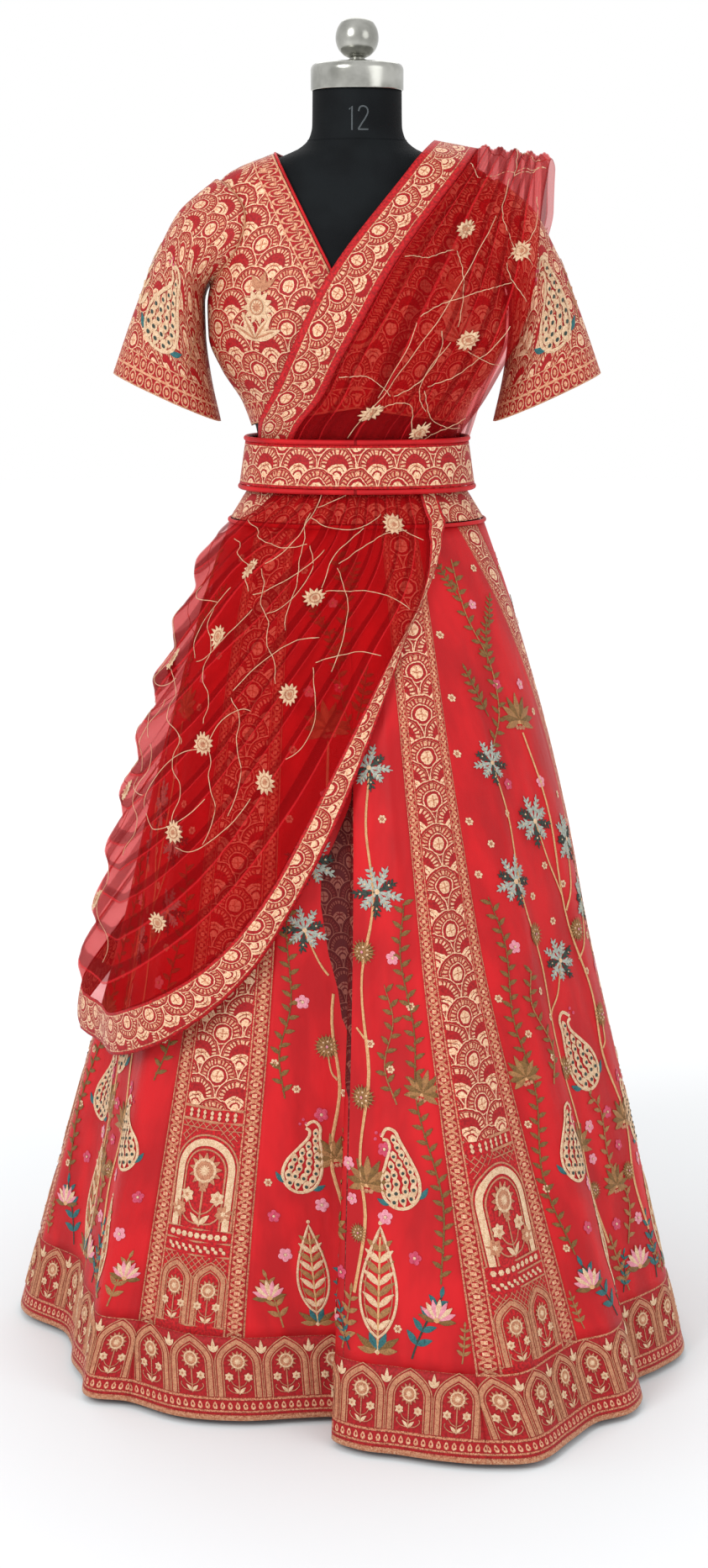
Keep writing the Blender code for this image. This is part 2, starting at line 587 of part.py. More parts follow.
def neck_edge(v, back):
    """Point just inside the neckline, where the piping runs."""
    def point(u, w):
        phi, z = choli_domain(np.array(u), np.array(w), back)
        return on_torso(phi, z, choli_offset(z) + 0.5 * CHOLI_WALL)
    bend = 0.85 if back else 0.35
    edge = point(0.0, v)
    if v <= bend + 1e-9:
        return edge + np.array([0.0, 0.0, NECK_CORD + 0.0010]) * np.array([0.0, 1.0, 1.0])
    along = point(0.0, min(v + 0.005, 1.0)) - point(0.0, v - 0.005)
    along /= np.linalg.norm(along)
    away = edge - point(0.04, v)
    away -= away.dot(along) * along
    return edge + away / np.linalg.norm(away) * (NECK_CORD + 0.0006)


def ring_surface(rows, off=0.0):
    """Surface of angle and height through a table of waist rings."""
    def surface(phi, z):
        a, f, b = np.moveaxis(table(rows, z), -1, 0)
        return polar(phi, ring_radius(phi, a + off, f + off, b + off, RING_POWER), z)
    return surface


def build_waist():
    """Waistband with its cord, and the belt with a cord along each edge."""
    phis = np.arange(0.0, 360.0, 11.25)
    grid_wall("waistband", ring_surface(WAISTBAND), phis, WAISTBAND[:, 0], SKIRT_WALL,
              GOLD_CLOTH, closed=True, seam=False)
    a, f, b = WAIST_RING
    radius = ring_radius(phis, a + 0.0018, f + 0.0018, b + 0.0018, RING_POWER)
    cord("waist_piping", polar(phis, radius, 0.9955), WAIST_CORD, 5, RED)
    grid_wall("belt_band", ring_surface(BELT), phis, BELT[[0, -1], 0], TRIM_WALL, GOLD_CLOTH,
              closed=True, seam=False)
    for name, row, dz in (("belt_piping_bottom", BELT[0], -1), ("belt_piping_top", BELT[-1], 1)):
        off = 0.5 * TRIM_WALL
        radius = ring_radius(phis, row[1] + off, row[2] + off, row[3] + off, RING_POWER)
        cord(name, polar(phis, radius, row[0] + dz * (BELT_CORD + 0.0003)), BELT_CORD, 5, RED)


LAP = (360.0, 0.0, 360.0, 360.0)
PLAN_ROWS = np.array([row[:4] for row in PLAN + [[a + b for a, b in zip(PLAN[0][:4], LAP)]]])
_PLAN_XY = polar(PLAN_ROWS[:, 0], PLAN_ROWS[:, 1], 0.0 * PLAN_ROWS[:, 0])[:, :2]
PLAN_S = np.concatenate([[0.0], np.cumsum(np.linalg.norm(np.diff(_PLAN_XY, axis=0), axis=1))])
HEM_LENGTH = PLAN_S[-1]


def plan_at(s):
    """Hem angle, hem radius, waist angle and middle angle at a distance s round the hem.

    A periodic cubic runs through the plan's rows.
    """
    turns = np.floor(s / HEM_LENGTH)
    x = s - turns * HEM_LENGTH
    i = np.clip(np.searchsorted(PLAN_S, x, side="right") - 1, 0, len(PLAN) - 1)
    count = len(PLAN)

    def row(k):
        lap = np.floor(k / count)
        value = PLAN_ROWS[np.mod(k, count)] + lap[..., None] * np.array(LAP)
        return value, PLAN_S[np.mod(k, count)] + lap * HEM_LENGTH
    (p0, s0), (p1, s1), (p2, s2), (p3, s3) = (row(i + k) for k in (-1, 0, 1, 2))
    h = (s2 - s1)[..., None]
    f = (x - s1)[..., None] / h
    m1 = (p2 - p0) / (s2 - s0)[..., None] * h
    m2 = (p3 - p1) / (s3 - s1)[..., None] * h
    value = ((2 * f**3 - 3 * f**2 + 1) * p1 + (f**3 - 2 * f**2 + f) * m1
             + (3 * f**2 - 2 * f**3) * p2 + (f**3 - f**2) * m2)
    return np.moveaxis(value + turns[..., None] * np.array(LAP), -1, 0)


def skirt_polar(s, fall):
    """Angle and radius of the skirt at s round the hem and fall from 0 (waist) to 1 (hem)."""
    hem_phi, hem_radius, waist_phi, middle_phi = plan_at(s)
    flare, depth = np.moveaxis(table(FLARE, fall), -1, 0)
    bow = middle_phi - (waist_phi + (hem_phi - waist_phi) * MIDDLE)
    phi = waist_phi + (hem_phi - waist_phi) * fall + bow * (fall * (1 - fall)**2) * BOW_SCALE
    waist = ring_radius(phi, *WAIST_RING, RING_POWER)
    smooth = ring_radius(phi, *HEM_RING, RING_POWER)
    fold = hem_radius - ring_radius(hem_phi, *HEM_RING, RING_POWER)
    return phi, waist + (smooth - waist) * flare + fold * depth


def skirt(s, fall):
    """Point on the inside of the skirt."""
    s, fall = np.broadcast_arrays(np.asarray(s, float), np.asarray(fall, float))
    phi, radius = skirt_polar(s, fall)
    return polar(phi, radius, SKIRT_TOP + (SKIRT_HEM - SKIRT_TOP) * fall)


def fall_at(z):
    """Share of the fall at a height."""
    return (SKIRT_TOP - z) / (SKIRT_TOP - SKIRT_HEM)


def build_skirt():
    """Twelve panels and the border in six lengths."""
    border = fall_at(BORDER_TOP)
    falls = np.concatenate([np.linspace(0, 0.86, 9), [border]])
    starts = [i for i, row in enumerate(PLAN) if row[4]] + [len(PLAN)]
    for first, last in zip(starts, starts[1:]):
        name = PLAN[first][4]
        knots = PLAN_S[first:last + 1]
        columns = np.sort(np.concatenate([knots, 0.5 * (knots[1:] + knots[:-1])]))
        color = GOLD_CLOTH if "gold" in name else RED
        grid_wall(name, skirt, columns, falls, SKIRT_WALL, color, outward=-1.0)
    gold = [i for i, row in enumerate(PLAN) if "gold" in row[4]]
    lengths = zip(gold, gold[1:] + [gold[0] + len(PLAN)])
    for number, (first, last) in enumerate(lengths, 1):
        knots = [PLAN_S[k % len(PLAN)] + (k // len(PLAN)) * HEM_LENGTH for k in range(first, last + 1)]
        knots = np.array(knots)
        columns = np.sort(np.concatenate([knots, 0.5 * (knots[1:] + knots[:-1])]))
        grid_wall(f"hem_border_{number}", skirt, columns, [border, 0.5 * (1 + border), 1.0],
                  SKIRT_WALL, GOLD_CLOTH, outward=-1.0)


def outer_radius_table():
    """Heights, angles and the radius just outside the skirt and waistband, smoothed."""
    heights = np.linspace(0.36, 1.07, 143)
    phis = np.arange(-180.0, 181.0, 4.0)
    lap = np.arange(0.0, HEM_LENGTH, 0.004)
    rows = []
    for z in heights:
        if z > 0.984:
            a, f, b = table(WAISTBAND, z) if z > 1.003 else np.array(WAIST_RING) + 0.0032
            rows.append(ring_radius(phis, a, f, b, RING_POWER) + SKIRT_WALL)
            continue
        phi, radius = skirt_polar(lap, np.full_like(lap, max(fall_at(z), 0.0)))
        away = np.abs((phis[:, None] - phi[None, :] + 180.0) % 360.0 - 180.0)
        rows.append(np.where(away < 9.0, radius[None, :], 0.0).max(axis=1) + SKIRT_WALL)
    grid = np.array(rows)
    for _ in range(2):
        core = grid[:, :-1]
        core = (np.roll(core, 1, axis=1) + 2 * core + np.roll(core, -1, axis=1)) / 4
        grid = np.column_stack([core, core[:, :1]])
        grid[1:-1] = np.maximum(grid[1:-1], (grid[:-2] + 2 * grid[1:-1] + grid[2:]) / 4)
    return heights, phis, grid


OUTER_Z, OUTER_PHI, OUTER = outer_radius_table()


def outer_radius(phi, z):
    """Radius just outside the skirt and waistband."""
    x = (np.mod(phi + 180.0, 360.0)) / 4.0
    y = np.clip((z - OUTER_Z[0]) / (OUTER_Z[1] - OUTER_Z[0]), 0, len(OUTER_Z) - 1.001)
    i, j = np.floor(y).astype(int), np.clip(np.floor(x).astype(int), 0, len(OUTER_PHI) - 2)
    fy, fx = y - i, x - j
    fx, fy = fx * fx * (3 - 2 * fx), fy
    return ((OUTER[i, j] * (1 - fx) + OUTER[i, j + 1] * fx) * (1 - fy)
            + (OUTER[i + 1, j] * (1 - fx) + OUTER[i + 1, j + 1] * fx) * fy)


def swag(across, row):
    """Point on the swag: across 0 at the top edge, 1 at the net's lower edge, 2 at the border's."""
    across, row = np.broadcast_arrays(np.asarray(across, float), np.asarray(row, float))
    tp, tz, np_, nz, bp, bz = np.moveaxis(table(indexed(SWAG), row), -1, 0)
    net = np.clip(across, 0, 1)
    edge = np.maximum(across - 1, 0)
    phi = tp + (np_ - tp) * net + (bp - np_) * edge
    z = tz + (nz - tz) * net + (bz - nz) * edge
    fold, belly, clear = np.moveaxis(table(SWAG_FOLD, row), -1, 0)
    height = fold * (0.5 - 0.5 * np.cos(2 * math.pi * SWAG_FOLDS * net))
    height = height + belly * np.sin(math.pi * np.clip(across / 2, 0, 1))**0.8
    clear = clear * (0.45 + 0.55 * net)
    return polar(phi, outer_radius(phi, z) + clear + height, z)


def upper(across, row):
    """Point on the upper dupatta: across -1 at the border's edge, 0 at the net's, 1 at the far edge."""
    across, row = np.broadcast_arrays(np.asarray(across, float), np.asarray(row, float))

    def base(u, v):
        bx, bz, nx, nz, fx, fz, forward = np.moveaxis(table(indexed(UPPER), v), -1, 0)
        net, edge = np.maximum(u, 0), np.maximum(-u, 0)
        x = nx + (fx - nx) * net + (bx - nx) * edge
        z = nz + (fz - nz) * net + (bz - nz) * edge
        front, back, minus, plus, power = np.moveaxis(table(UPPER_SHAPE, z), -1, 0)
        wide = np.where(x < 0, minus, np.where(forward > 0, plus, UPPER_BACK_WIDTH))
        share = np.maximum(1 - np.abs(x / wide)**power, 0.01)**(1 / power)
        depth = np.where(forward > 0, front, back) * share
        return np.stack([x, -forward * depth, z], axis=-1)
    pleat = table(UPPER_PLEAT, row)[..., 0] * (0.5 - 0.5 * np.cos(2 * math.pi * UPPER_PLEATS
                                                                * np.maximum(across, 0)))
    return base(across, row) - normals_of(base, across, row, 1e-3, 1e-3) * -pleat[..., None]


def build_dupatta():
    """Net and border of the swag and of the length over the shoulder."""
    rows = np.array([0, 0.35, 0.7, 1, 1.5, 2, 2.5, *range(3, 18), 17.6, 18.1, 18.5, 18.8, 19])
    grid_wall("dupatta_swag", swag, np.linspace(0, 1, 3 * SWAG_FOLDS + 1), rows, NET_WALL, NET_RED,
              outward=-1.0)
    grid_wall("dupatta_swag_border", swag, [1.0, 1.5, 2.0], rows, NET_WALL, GOLD_CLOTH, outward=-1.0)
    rows = np.array([*range(0, 4), 3.5, 4, 4.5, *range(5, 15), 16, 18, 20])
    grid_wall("dupatta_shoulder", upper, np.linspace(0, 1, 4 * UPPER_PLEATS + 1), rows, NET_WALL,
              NET_RED)
    grid_wall("dupatta_shoulder_border", upper, [-1.0, -0.5, 0.0], rows, NET_WALL, GOLD_CLOTH)


def main():
    """Clear the scene and build every piece."""
    for obj in list(bpy.data.objects):
        bpy.data.objects.remove(obj, do_unlink=True)
    build_form()
    build_choli()
    build_waist()
    build_skirt()
    build_dupatta()


main()
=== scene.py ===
"""Looks of a red lehenga choli with a net dupatta, on a limbless dress form.

Every cloth is sampled finely from the same formulas as its solid, then dressed: woven and
stitched patterns come from shader nodes in cloth metres, and raised embroidery is laid on the
cloth as thread meshes. Units are metres, Z is up, the front faces -Y and +X is the wearer's
left. Angles phi are in degrees from the front towards +X.
"""
from __future__ import annotations

import logging
import math
import random
from dataclasses import dataclass, field
from enum import Enum
from typing import Callable, Mapping, Sequence

import bpy
import numpy as np
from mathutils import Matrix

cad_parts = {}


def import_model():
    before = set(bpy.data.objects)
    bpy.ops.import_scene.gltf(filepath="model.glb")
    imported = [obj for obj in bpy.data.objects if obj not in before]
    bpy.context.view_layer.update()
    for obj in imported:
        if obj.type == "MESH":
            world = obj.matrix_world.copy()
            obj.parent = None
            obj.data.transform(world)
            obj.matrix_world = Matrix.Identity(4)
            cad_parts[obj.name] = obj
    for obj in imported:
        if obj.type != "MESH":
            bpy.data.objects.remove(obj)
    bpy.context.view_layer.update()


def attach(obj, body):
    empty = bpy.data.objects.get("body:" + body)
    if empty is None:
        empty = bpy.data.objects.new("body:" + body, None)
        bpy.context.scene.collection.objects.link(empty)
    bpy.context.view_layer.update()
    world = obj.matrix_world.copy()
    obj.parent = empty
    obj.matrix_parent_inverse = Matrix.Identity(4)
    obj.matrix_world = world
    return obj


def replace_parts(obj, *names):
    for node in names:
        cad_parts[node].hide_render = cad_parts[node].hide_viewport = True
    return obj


LOG = logging.getLogger("lehenga")
Array = np.ndarray
Surface = Callable[[Array, Array], Array]
Placer = Callable[[Array, Array, Array], Array]
Material = bpy.types.Material
Piece = bpy.types.Object

# Walls of the solids, which the fine cloth keeps
SKIRT_WALL = 0.0016
CHOLI_WALL = 0.0015
NET_WALL = 0.0010
TRIM_WALL = 0.0020

# z, half width, front depth, back depth, squareness of the ring
TORSO = np.array([
    (0.900, 0.070, 0.055, 0.058, 2.2), (0.908, 0.118, 0.086, 0.094, 2.2),
    (0.930, 0.140, 0.100, 0.110, 2.2), (0.965, 0.140, 0.101, 0.109, 2.2),
    (1.000, 0.132, 0.096, 0.102, 2.2), (1.030, 0.121, 0.090, 0.094, 2.2),
    (1.060, 0.1135, 0.086, 0.088, 2.2), (1.090, 0.1150, 0.087, 0.087, 2.2),
    (1.130, 0.1270, 0.094, 0.090, 2.2), (1.170, 0.1520, 0.106, 0.094, 2.3),
    (1.205, 0.1660, 0.117, 0.096, 2.3), (1.240, 0.1670, 0.118, 0.097, 2.3),
    (1.270, 0.1625, 0.112, 0.097, 2.3), (1.300, 0.1590, 0.100, 0.096, 2.3),
    (1.330, 0.1590, 0.086, 0.092, 2.3), (1.350, 0.1580, 0.076, 0.086, 2.3),
    (1.365, 0.1550, 0.069, 0.080, 2.3), (1.378, 0.1470, 0.063, 0.073, 2.3),
    (1.390, 0.1270, 0.059, 0.066, 2.2), (1.3985, 0.1045, 0.0565, 0.061, 2.2),
    (1.403, 0.0930, 0.0555, 0.0585, 2.2), (1.409, 0.0780, 0.054, 0.056, 2.1),
    (1.416, 0.0640, 0.052, 0.053, 2.0), (1.426, 0.0545, 0.051, 0.051, 2.0),
    (1.440, 0.0510, 0.050, 0.050, 2.0), (1.478, 0.0505, 0.050, 0.050, 2.0)])

# along, outer x, outer z, inner x, inner z, half depth
SLEEVE = np.array([
    (0.00, 0.156, 1.376, 0.168, 1.264, 0.055), (0.20, 0.195, 1.352, 0.1765, 1.246, 0.062),
    (0.45, 0.226, 1.301, 0.1755, 1.205, 0.064), (0.70, 0.253, 1.237, 0.1700, 1.160, 0.062),
    (1.00, 0.280, 1.163, 0.1590, 1.108, 0.056)])

# z, half width, front depth, back depth
WAISTBAND = np.array([
    (0.9985, 0.1450, 0.1105, 0.1165), (1.0150, 0.1350, 0.1022, 0.1075),
    (1.0340, 0.1235, 0.0930, 0.0960), (1.0580, 0.1150, 0.0875, 0.0893),
    (1.0780, 0.1153, 0.0877, 0.0886)])
BELT = np.array([
    (1.0375, 0.1345, 0.1060, 0.1080), (1.0600, 0.1300, 0.1020, 0.1040),
    (1.0860, 0.1275, 0.0995, 0.1005)])
RING_POWER = 2.2

# fall from the waist (0) to the hem (1), share of the flare, share of the fold depth
FLARE = np.array([
    (0.000, 0.000, 0.00), (0.097, 0.135, 0.03), (0.218, 0.275, 0.11), (0.351, 0.405, 0.24),
    (0.496, 0.520, 0.40), (0.655, 0.670, 0.60), (0.817, 0.825, 0.79), (1.000, 1.000, 1.00)])

# hem angle, hem radius, waist angle, angle at MIDDLE of the fall; a panel starts at a name
PLAN = [
    (-92.0, 0.414, -106.0, -99.0, "kali_red_1"), (-83.0, 0.362, -96.0, -90.0, ""),
    (-75.5, 0.354, -88.0, -81.0, ""), (-68.0, 0.364, -80.0, -73.0, ""),
    (-60.5, 0.368, -72.0, -65.0, ""), (-53.0, 0.388, -64.0, -56.0, ""),
    (-46.5, 0.360, -56.0, -47.0, "kali_gold_1"), (-35.0, 0.350, -45.0, -35.5, ""),
    (-23.5, 0.326, -34.0, -24.0, "kali_red_2"), (-13.0, 0.299, -20.0, -14.0, ""),
    (-4.0, 0.290, -6.0, -4.0, ""), (-1.5, 0.310, -3.0, -1.5, ""),
    (-4.5, 0.345, -1.0, -1.5, ""), (0.5, 0.372, 2.0, 2.0, ""),
    (6.5, 0.386, 5.5, 6.0, ""), (13.0, 0.410, 9.5, 10.5, ""),
    (19.3, 0.432, 13.5, 15.0, "kali_gold_2"), (26.0, 0.446, 19.5, 20.0, ""),
    (34.0, 0.421, 26.0, 25.5, ""), (41.5, 0.405, 33.0, 31.0, "kali_red_3"),
    (48.0, 0.416, 37.5, 38.0, ""), (54.0, 0.404, 41.0, 45.0, ""),
    (59.5, 0.376, 44.0, 52.0, ""), (66.0, 0.388, 47.0, 60.0, ""),
    (74.0, 0.404, 50.0, 69.0, ""), (83.0, 0.397, 53.0, 77.0, ""),
    (92.0, 0.385, 56.0, 85.0, "kali_gold_3"), (100.0, 0.398, 63.0, 92.0, ""),
    (108.0, 0.388, 71.0, 98.0, "kali_red_4"), (117.0, 0.372, 82.0, 106.0, ""),
    (126.0, 0.402, 94.0, 114.0, ""), (134.0, 0.408, 105.0, 122.0, ""),
    (142.0, 0.384, 116.0, 130.0, "kali_gold_4"), (151.0, 0.374, 124.0, 139.0, ""),
    (160.0, 0.400, 132.0, 147.0, "kali_red_5"), (170.0, 0.410, 145.0, 158.0, ""),
    (179.0, 0.384, 158.0, 168.0, ""), (188.0, 0.370, 170.0, 179.0, ""),
    (197.0, 0.396, 182.0, 188.0, "kali_gold_5"), (206.0, 0.408, 190.0, 197.0, ""),
    (215.0, 0.386, 198.0, 206.0, "kali_red_6"), (224.0, 0.368, 210.0, 216.0, ""),
    (233.0, 0.394, 221.0, 226.0, ""), (241.0, 0.410, 231.0, 236.0, ""),
    (249.0, 0.398, 240.0, 245.0, "kali_gold_6"), (258.5, 0.425, 247.0, 253.0, "")]

# row: border edge x, z; net edge x, z; far edge x, z; how far forward (1 front, -1 back)
UPPER = np.array([
    (-0.1090, 1.0640, -0.0780, 1.0640, 0.1130, 1.0640, 1.00),
    (-0.1125, 1.0850, -0.0745, 1.0840, 0.1140, 1.0830, 1.00),
    (-0.1120, 1.1060, -0.0660, 1.1050, 0.1210, 1.1010, 1.00),
    (-0.0930, 1.1480, -0.0390, 1.1400, 0.1430, 1.1330, 1.00),
    (-0.0720, 1.1950, -0.0200, 1.1780, 0.1640, 1.1720, 1.00),
    (-0.0420, 1.2570, 0.0060, 1.2240, 0.1840, 1.2120, 1.00),
    (-0.0150, 1.2990, 0.0340, 1.2740, 0.1960, 1.2560, 1.00),
    (0.0140, 1.3360, 0.0640, 1.3180, 0.2020, 1.3020, 1.00),
    (0.0450, 1.3740, 0.0930, 1.3560, 0.2060, 1.3450, 1.00),
    (0.0700, 1.4050, 0.1180, 1.3880, 0.2120, 1.3780, 0.92),
    (0.0880, 1.4230, 0.1370, 1.4140, 0.2210, 1.4030, 0.05),
    (0.0900, 1.4100, 0.1400, 1.4030, 0.2290, 1.3920, -0.88),
    (0.0820, 1.3600, 0.1340, 1.3560, 0.2290, 1.3480, -1.00),
    (0.0700, 1.2900, 0.1220, 1.2880, 0.2120, 1.2820, -1.00),
    (0.0480, 1.2000, 0.0990, 1.2000, 0.1800, 1.1960, -1.00),
    (0.0270, 1.1100, 0.0760, 1.1100, 0.1420, 1.1070, -1.00),
    (0.0180, 1.0200, 0.0640, 1.0200, 0.1220, 1.0180, -1.00),
    (0.0160, 0.9300, 0.0620, 0.9300, 0.1250, 0.9290, -1.00),
    (0.0160, 0.8400, 0.0640, 0.8400, 0.1330, 0.8395, -1.00),
    (0.0160, 0.7500, 0.0660, 0.7500, 0.1420, 0.7500, -1.00),
    (0.0160, 0.6600, 0.0680, 0.6600, 0.1500, 0.6600, -1.00)])
# z, front depth, back depth, half width towards -X, half width towards +X, squareness
UPPER_SHAPE = np.array([
    (0.660, 0.2500, 0.2540, 0.2900, 0.3000, 2.40), (0.750, 0.2300, 0.2320, 0.2700, 0.2900, 2.40),
    (0.840, 0.2050, 0.2080, 0.2500, 0.2800, 2.40), (0.930, 0.1720, 0.1780, 0.2200, 0.2700, 2.40),
    (0.990, 0.1400, 0.1460, 0.1800, 0.2620, 2.40), (1.035, 0.1200, 0.1240, 0.1500, 0.2560, 2.30),
    (1.064, 0.0900, 0.1185, 0.1182, 0.1178, 2.20), (1.084, 0.0912, 0.1175, 0.1196, 0.1194, 2.20),
    (1.095, 0.0935, 0.1165, 0.1210, 0.1225, 2.20), (1.112, 0.0985, 0.1160, 0.1290, 0.1400, 2.25),
    (1.140, 0.1055, 0.1150, 0.1400, 0.1640, 2.35), (1.170, 0.1170, 0.1140, 0.1580, 0.1880, 2.40),
    (1.205, 0.1280, 0.1130, 0.1730, 0.2120, 2.40), (1.255, 0.1275, 0.1140, 0.1725, 0.2300, 2.40),
    (1.300, 0.1120, 0.1140, 0.1700, 0.2400, 2.40), (1.345, 0.0930, 0.1070, 0.1680, 0.2450, 2.40),
    (1.376, 0.0800, 0.0970, 0.1600, 0.2500, 2.40), (1.400, 0.0700, 0.0860, 0.1500, 0.2550, 2.40),
    (1.425, 0.0600, 0.0760, 0.1500, 0.2600, 2.40)])
UPPER_PLEATS = 5
# row, pleat height
UPPER_PLEAT = np.array([(0, 0.0012), (2, 0.0022), (4, 0.0045), (7, 0.0060), (10, 0.0046),
                        (12, 0.0050), (14, 0.0042), (16, 0.0034), (20, 0.0060)])

# row: top edge angle, z; net edge angle, z; border edge angle, z
SWAG = np.array([
    (-50.0, 1.0540, 40.0, 1.0540, 51.0, 1.0540), (-53.0, 1.0300, 38.5, 1.0120, 48.5, 1.0160),
    (-57.0, 1.0170, 33.0, 0.9560, 40.0, 0.9700), (-61.0, 1.0070, 24.5, 0.9090, 30.5, 0.9300),
    (-65.0, 0.9990, 12.0, 0.8560, 18.0, 0.8730), (-69.0, 0.9930, 2.0, 0.7980, 8.0, 0.8030),
    (-73.0, 0.9880, -7.5, 0.7300, -0.3, 0.7310), (-77.0, 0.9840, -15.6, 0.6650, -8.2, 0.6590),
    (-81.0, 0.9810, -23.8, 0.5950, -17.2, 0.5860), (-85.0, 0.9790, -33.2, 0.5340, -25.7, 0.5190),
    (-89.0, 0.9780, -43.2, 0.4900, -36.7, 0.4610), (-93.0, 0.9780, -55.0, 0.4560, -49.8, 0.4140),
    (-97.0, 0.9790, -69.0, 0.4320, -66.0, 0.3870), (-101.0, 0.9820, -86.0, 0.4280, -84.5, 0.3820),
    (-105.0, 0.9860, -103.0, 0.4520, -103.5, 0.4050),
    (-109.0, 0.9920, -119.0, 0.5200, -122.0, 0.4760),
    (-113.0, 0.9990, -133.0, 0.6300, -138.0, 0.5950),
    (-117.0, 1.0090, -146.0, 0.7800, -153.0, 0.7550),
    (-121.0, 1.0260, -157.0, 0.9300, -166.0, 0.9200),
    (-125.0, 1.0540, -164.0, 1.0540, -173.0, 1.0540)])
SWAG_FOLDS = 8
# row, fold height, how far the cloth bellies out between its edges, how far it stands off
SWAG_FOLD = np.array([(0, 0.0014, 0.000, 0.0016), (1, 0.0028, 0.000, 0.0040),
                      (3, 0.0070, 0.002, 0.0040), (6, 0.0095, 0.007, 0.0060),
                      (12, 0.0120, 0.009, 0.0200), (16, 0.0100, 0.007, 0.0090),
                      (18, 0.0040, 0.001, 0.0045), (18.6, 0.0022, 0.000, 0.0034),
                      (19, 0.0014, 0.000, 0.0014)])


def hermite(f: Array, start: Array, end: Array, leaving: Array, arriving: Array) -> Array:
    """Cubic from start to end at a share f of the way, with its slopes at both ends."""
    return ((2 * f**3 - 3 * f**2 + 1) * start + (f**3 - 2 * f**2 + f) * leaving
            + (3 * f**2 - 2 * f**3) * end + (f**3 - f**2) * arriving)


def bilinear(grid: Array, y: Array, x: Array, soft: bool = False) -> Array:
    """A grid read between its rows and columns; soft eases it from column to column."""
    i = np.clip(np.floor(y).astype(int), 0, grid.shape[0] - 2)
    j = np.clip(np.floor(x).astype(int), 0, grid.shape[1] - 2)
    fy, fx = y - i, x - j
    if soft:
        fx = fx * fx * (3 - 2 * fx)
    low = grid[i, j] * (1 - fx) + grid[i, j + 1] * fx
    high = grid[i + 1, j] * (1 - fx) + grid[i + 1, j + 1] * fx
    return low * (1 - fy) + high * fy


def table(rows: Array, x: Array | float) -> Array:
    """Monotone cubic interpolation of every column of rows over its first column.

    Args:
        rows: a table whose first column rises.
        x: where to read it.

    Returns:
        The other columns at x, along a last axis.
    """
    xs, ys = rows[:, 0], rows[:, 1:]
    x = np.clip(np.asarray(x, float), xs[0], xs[-1])
    step = np.diff(xs)[:, None]
    slope = np.diff(ys, axis=0) / step
    tangent = np.zeros_like(ys)
    tangent[0], tangent[-1] = slope[0], slope[-1]
    rising = slope[:-1] * slope[1:] > 0
    w1, w2 = 2 * step[1:] + step[:-1], step[1:] + 2 * step[:-1]
    safe = np.where(rising, slope[:-1], 1.0), np.where(rising, slope[1:], 1.0)
    tangent[1:-1] = np.where(rising, (w1 + w2) / (w1 / safe[0] + w2 / safe[1]), 0.0)
    i = np.clip(np.searchsorted(xs, x, side="right") - 1, 0, len(xs) - 2)
    h = (xs[i + 1] - xs[i])[..., None]
    f = (x - xs[i])[..., None] / h
    return hermite(f, ys[i], ys[i + 1], h * tangent[i], h * tangent[i + 1])


def columns(rows: Array, x: Array | float) -> Array:
    """The columns of table() along the first axis, to unpack."""
    return np.moveaxis(table(rows, x), -1, 0)


def indexed(rows: Array) -> Array:
    """Rows with their number in front, so that table() can run along them."""
    return np.column_stack([np.arange(len(rows), dtype=float), rows])


def beside(*columns: Array) -> Array:
    """Numbers side by side along a last axis."""
    return np.stack(columns, axis=-1)


def ring_radius(phi: Array, half: Array, front: Array, back: Array, power: Array) -> Array:
    """Radius at angle phi of a rounded ring that is deeper or flatter front and back."""
    s, c = np.sin(np.radians(phi)), np.cos(np.radians(phi))
    depth = np.where(c > 0, front, back)
    return (np.abs(s / half)**power + np.abs(c / depth)**power)**(-1.0 / power)


def polar(phi: Array, radius: Array, z: Array) -> Array:
    """Point at an angle from the front, a radius and a height."""
    a = np.radians(phi)
    return beside(radius * np.sin(a), -radius * np.cos(a), z + 0 * radius)


def mirrored(points: Array, side: float) -> Array:
    """Points with x times side: 1 keeps them, -1 mirrors them and 0 lays them on the middle."""
    return points * np.array([side, 1.0, 1.0])


def unit(vectors: Array) -> Array:
    """Vectors made one long."""
    return vectors / np.maximum(np.linalg.norm(vectors, axis=-1, keepdims=True), 1e-12)


def headings(path: Array, closed: bool = False) -> Array:
    """Unit direction at each point of a path."""
    if closed:
        return unit(np.roll(path, -1, axis=0) - np.roll(path, 1, axis=0))
    return unit(np.gradient(path, axis=0))


def normals_of(surface: Surface, u: Array, v: Array, du: float, dv: float) -> Array:
    """Unit normals of surface(u, v), along its u step crossed with its v step."""
    a = surface(u + du, v) - surface(u - du, v)
    b = surface(u, v + dv) - surface(u, v - dv)
    return unit(np.cross(a, b))


def smooth(x: Array | float, low: float, high: float) -> Array:
    """Smooth step from 0 at low to 1 at high."""
    t = np.clip((np.asarray(x, float) - low) / (high - low), 0, 1)
    return t * t * (3 - 2 * t)


def lengths_along(points: Array, axis: int = 0) -> Array:
    """Distance along a line of points, from its start."""
    steps = np.linalg.norm(np.diff(points, axis=axis), axis=-1)
    start = np.zeros_like(np.take(steps, [0], axis=axis))
    return np.concatenate([start, np.cumsum(steps, axis=axis)], axis=axis)


def spline(points: Sequence[Sequence[float]], count: int) -> Array:
    """A smooth curve through points, as count points.

    Args:
        points: what the curve goes through.
        count: how many points to return.

    Returns:
        Points of a Catmull-Rom curve, evenly spread over its spans.
    """
    p = np.asarray(points, float)
    p = np.vstack([2 * p[0] - p[1], p, 2 * p[-1] - p[-2]])
    t = np.linspace(0, len(p) - 3 - 1e-9, count)
    i = t.astype(int)
    f = (t - i)[:, None]
    a, b, c, d = p[i], p[i + 1], p[i + 2], p[i + 3]
    return 0.5 * (2 * b + (c - a) * f + (2 * a - 5 * b + 4 * c - d) * f**2
                  + (3 * b - a - 3 * c + d) * f**3)


# Shader building


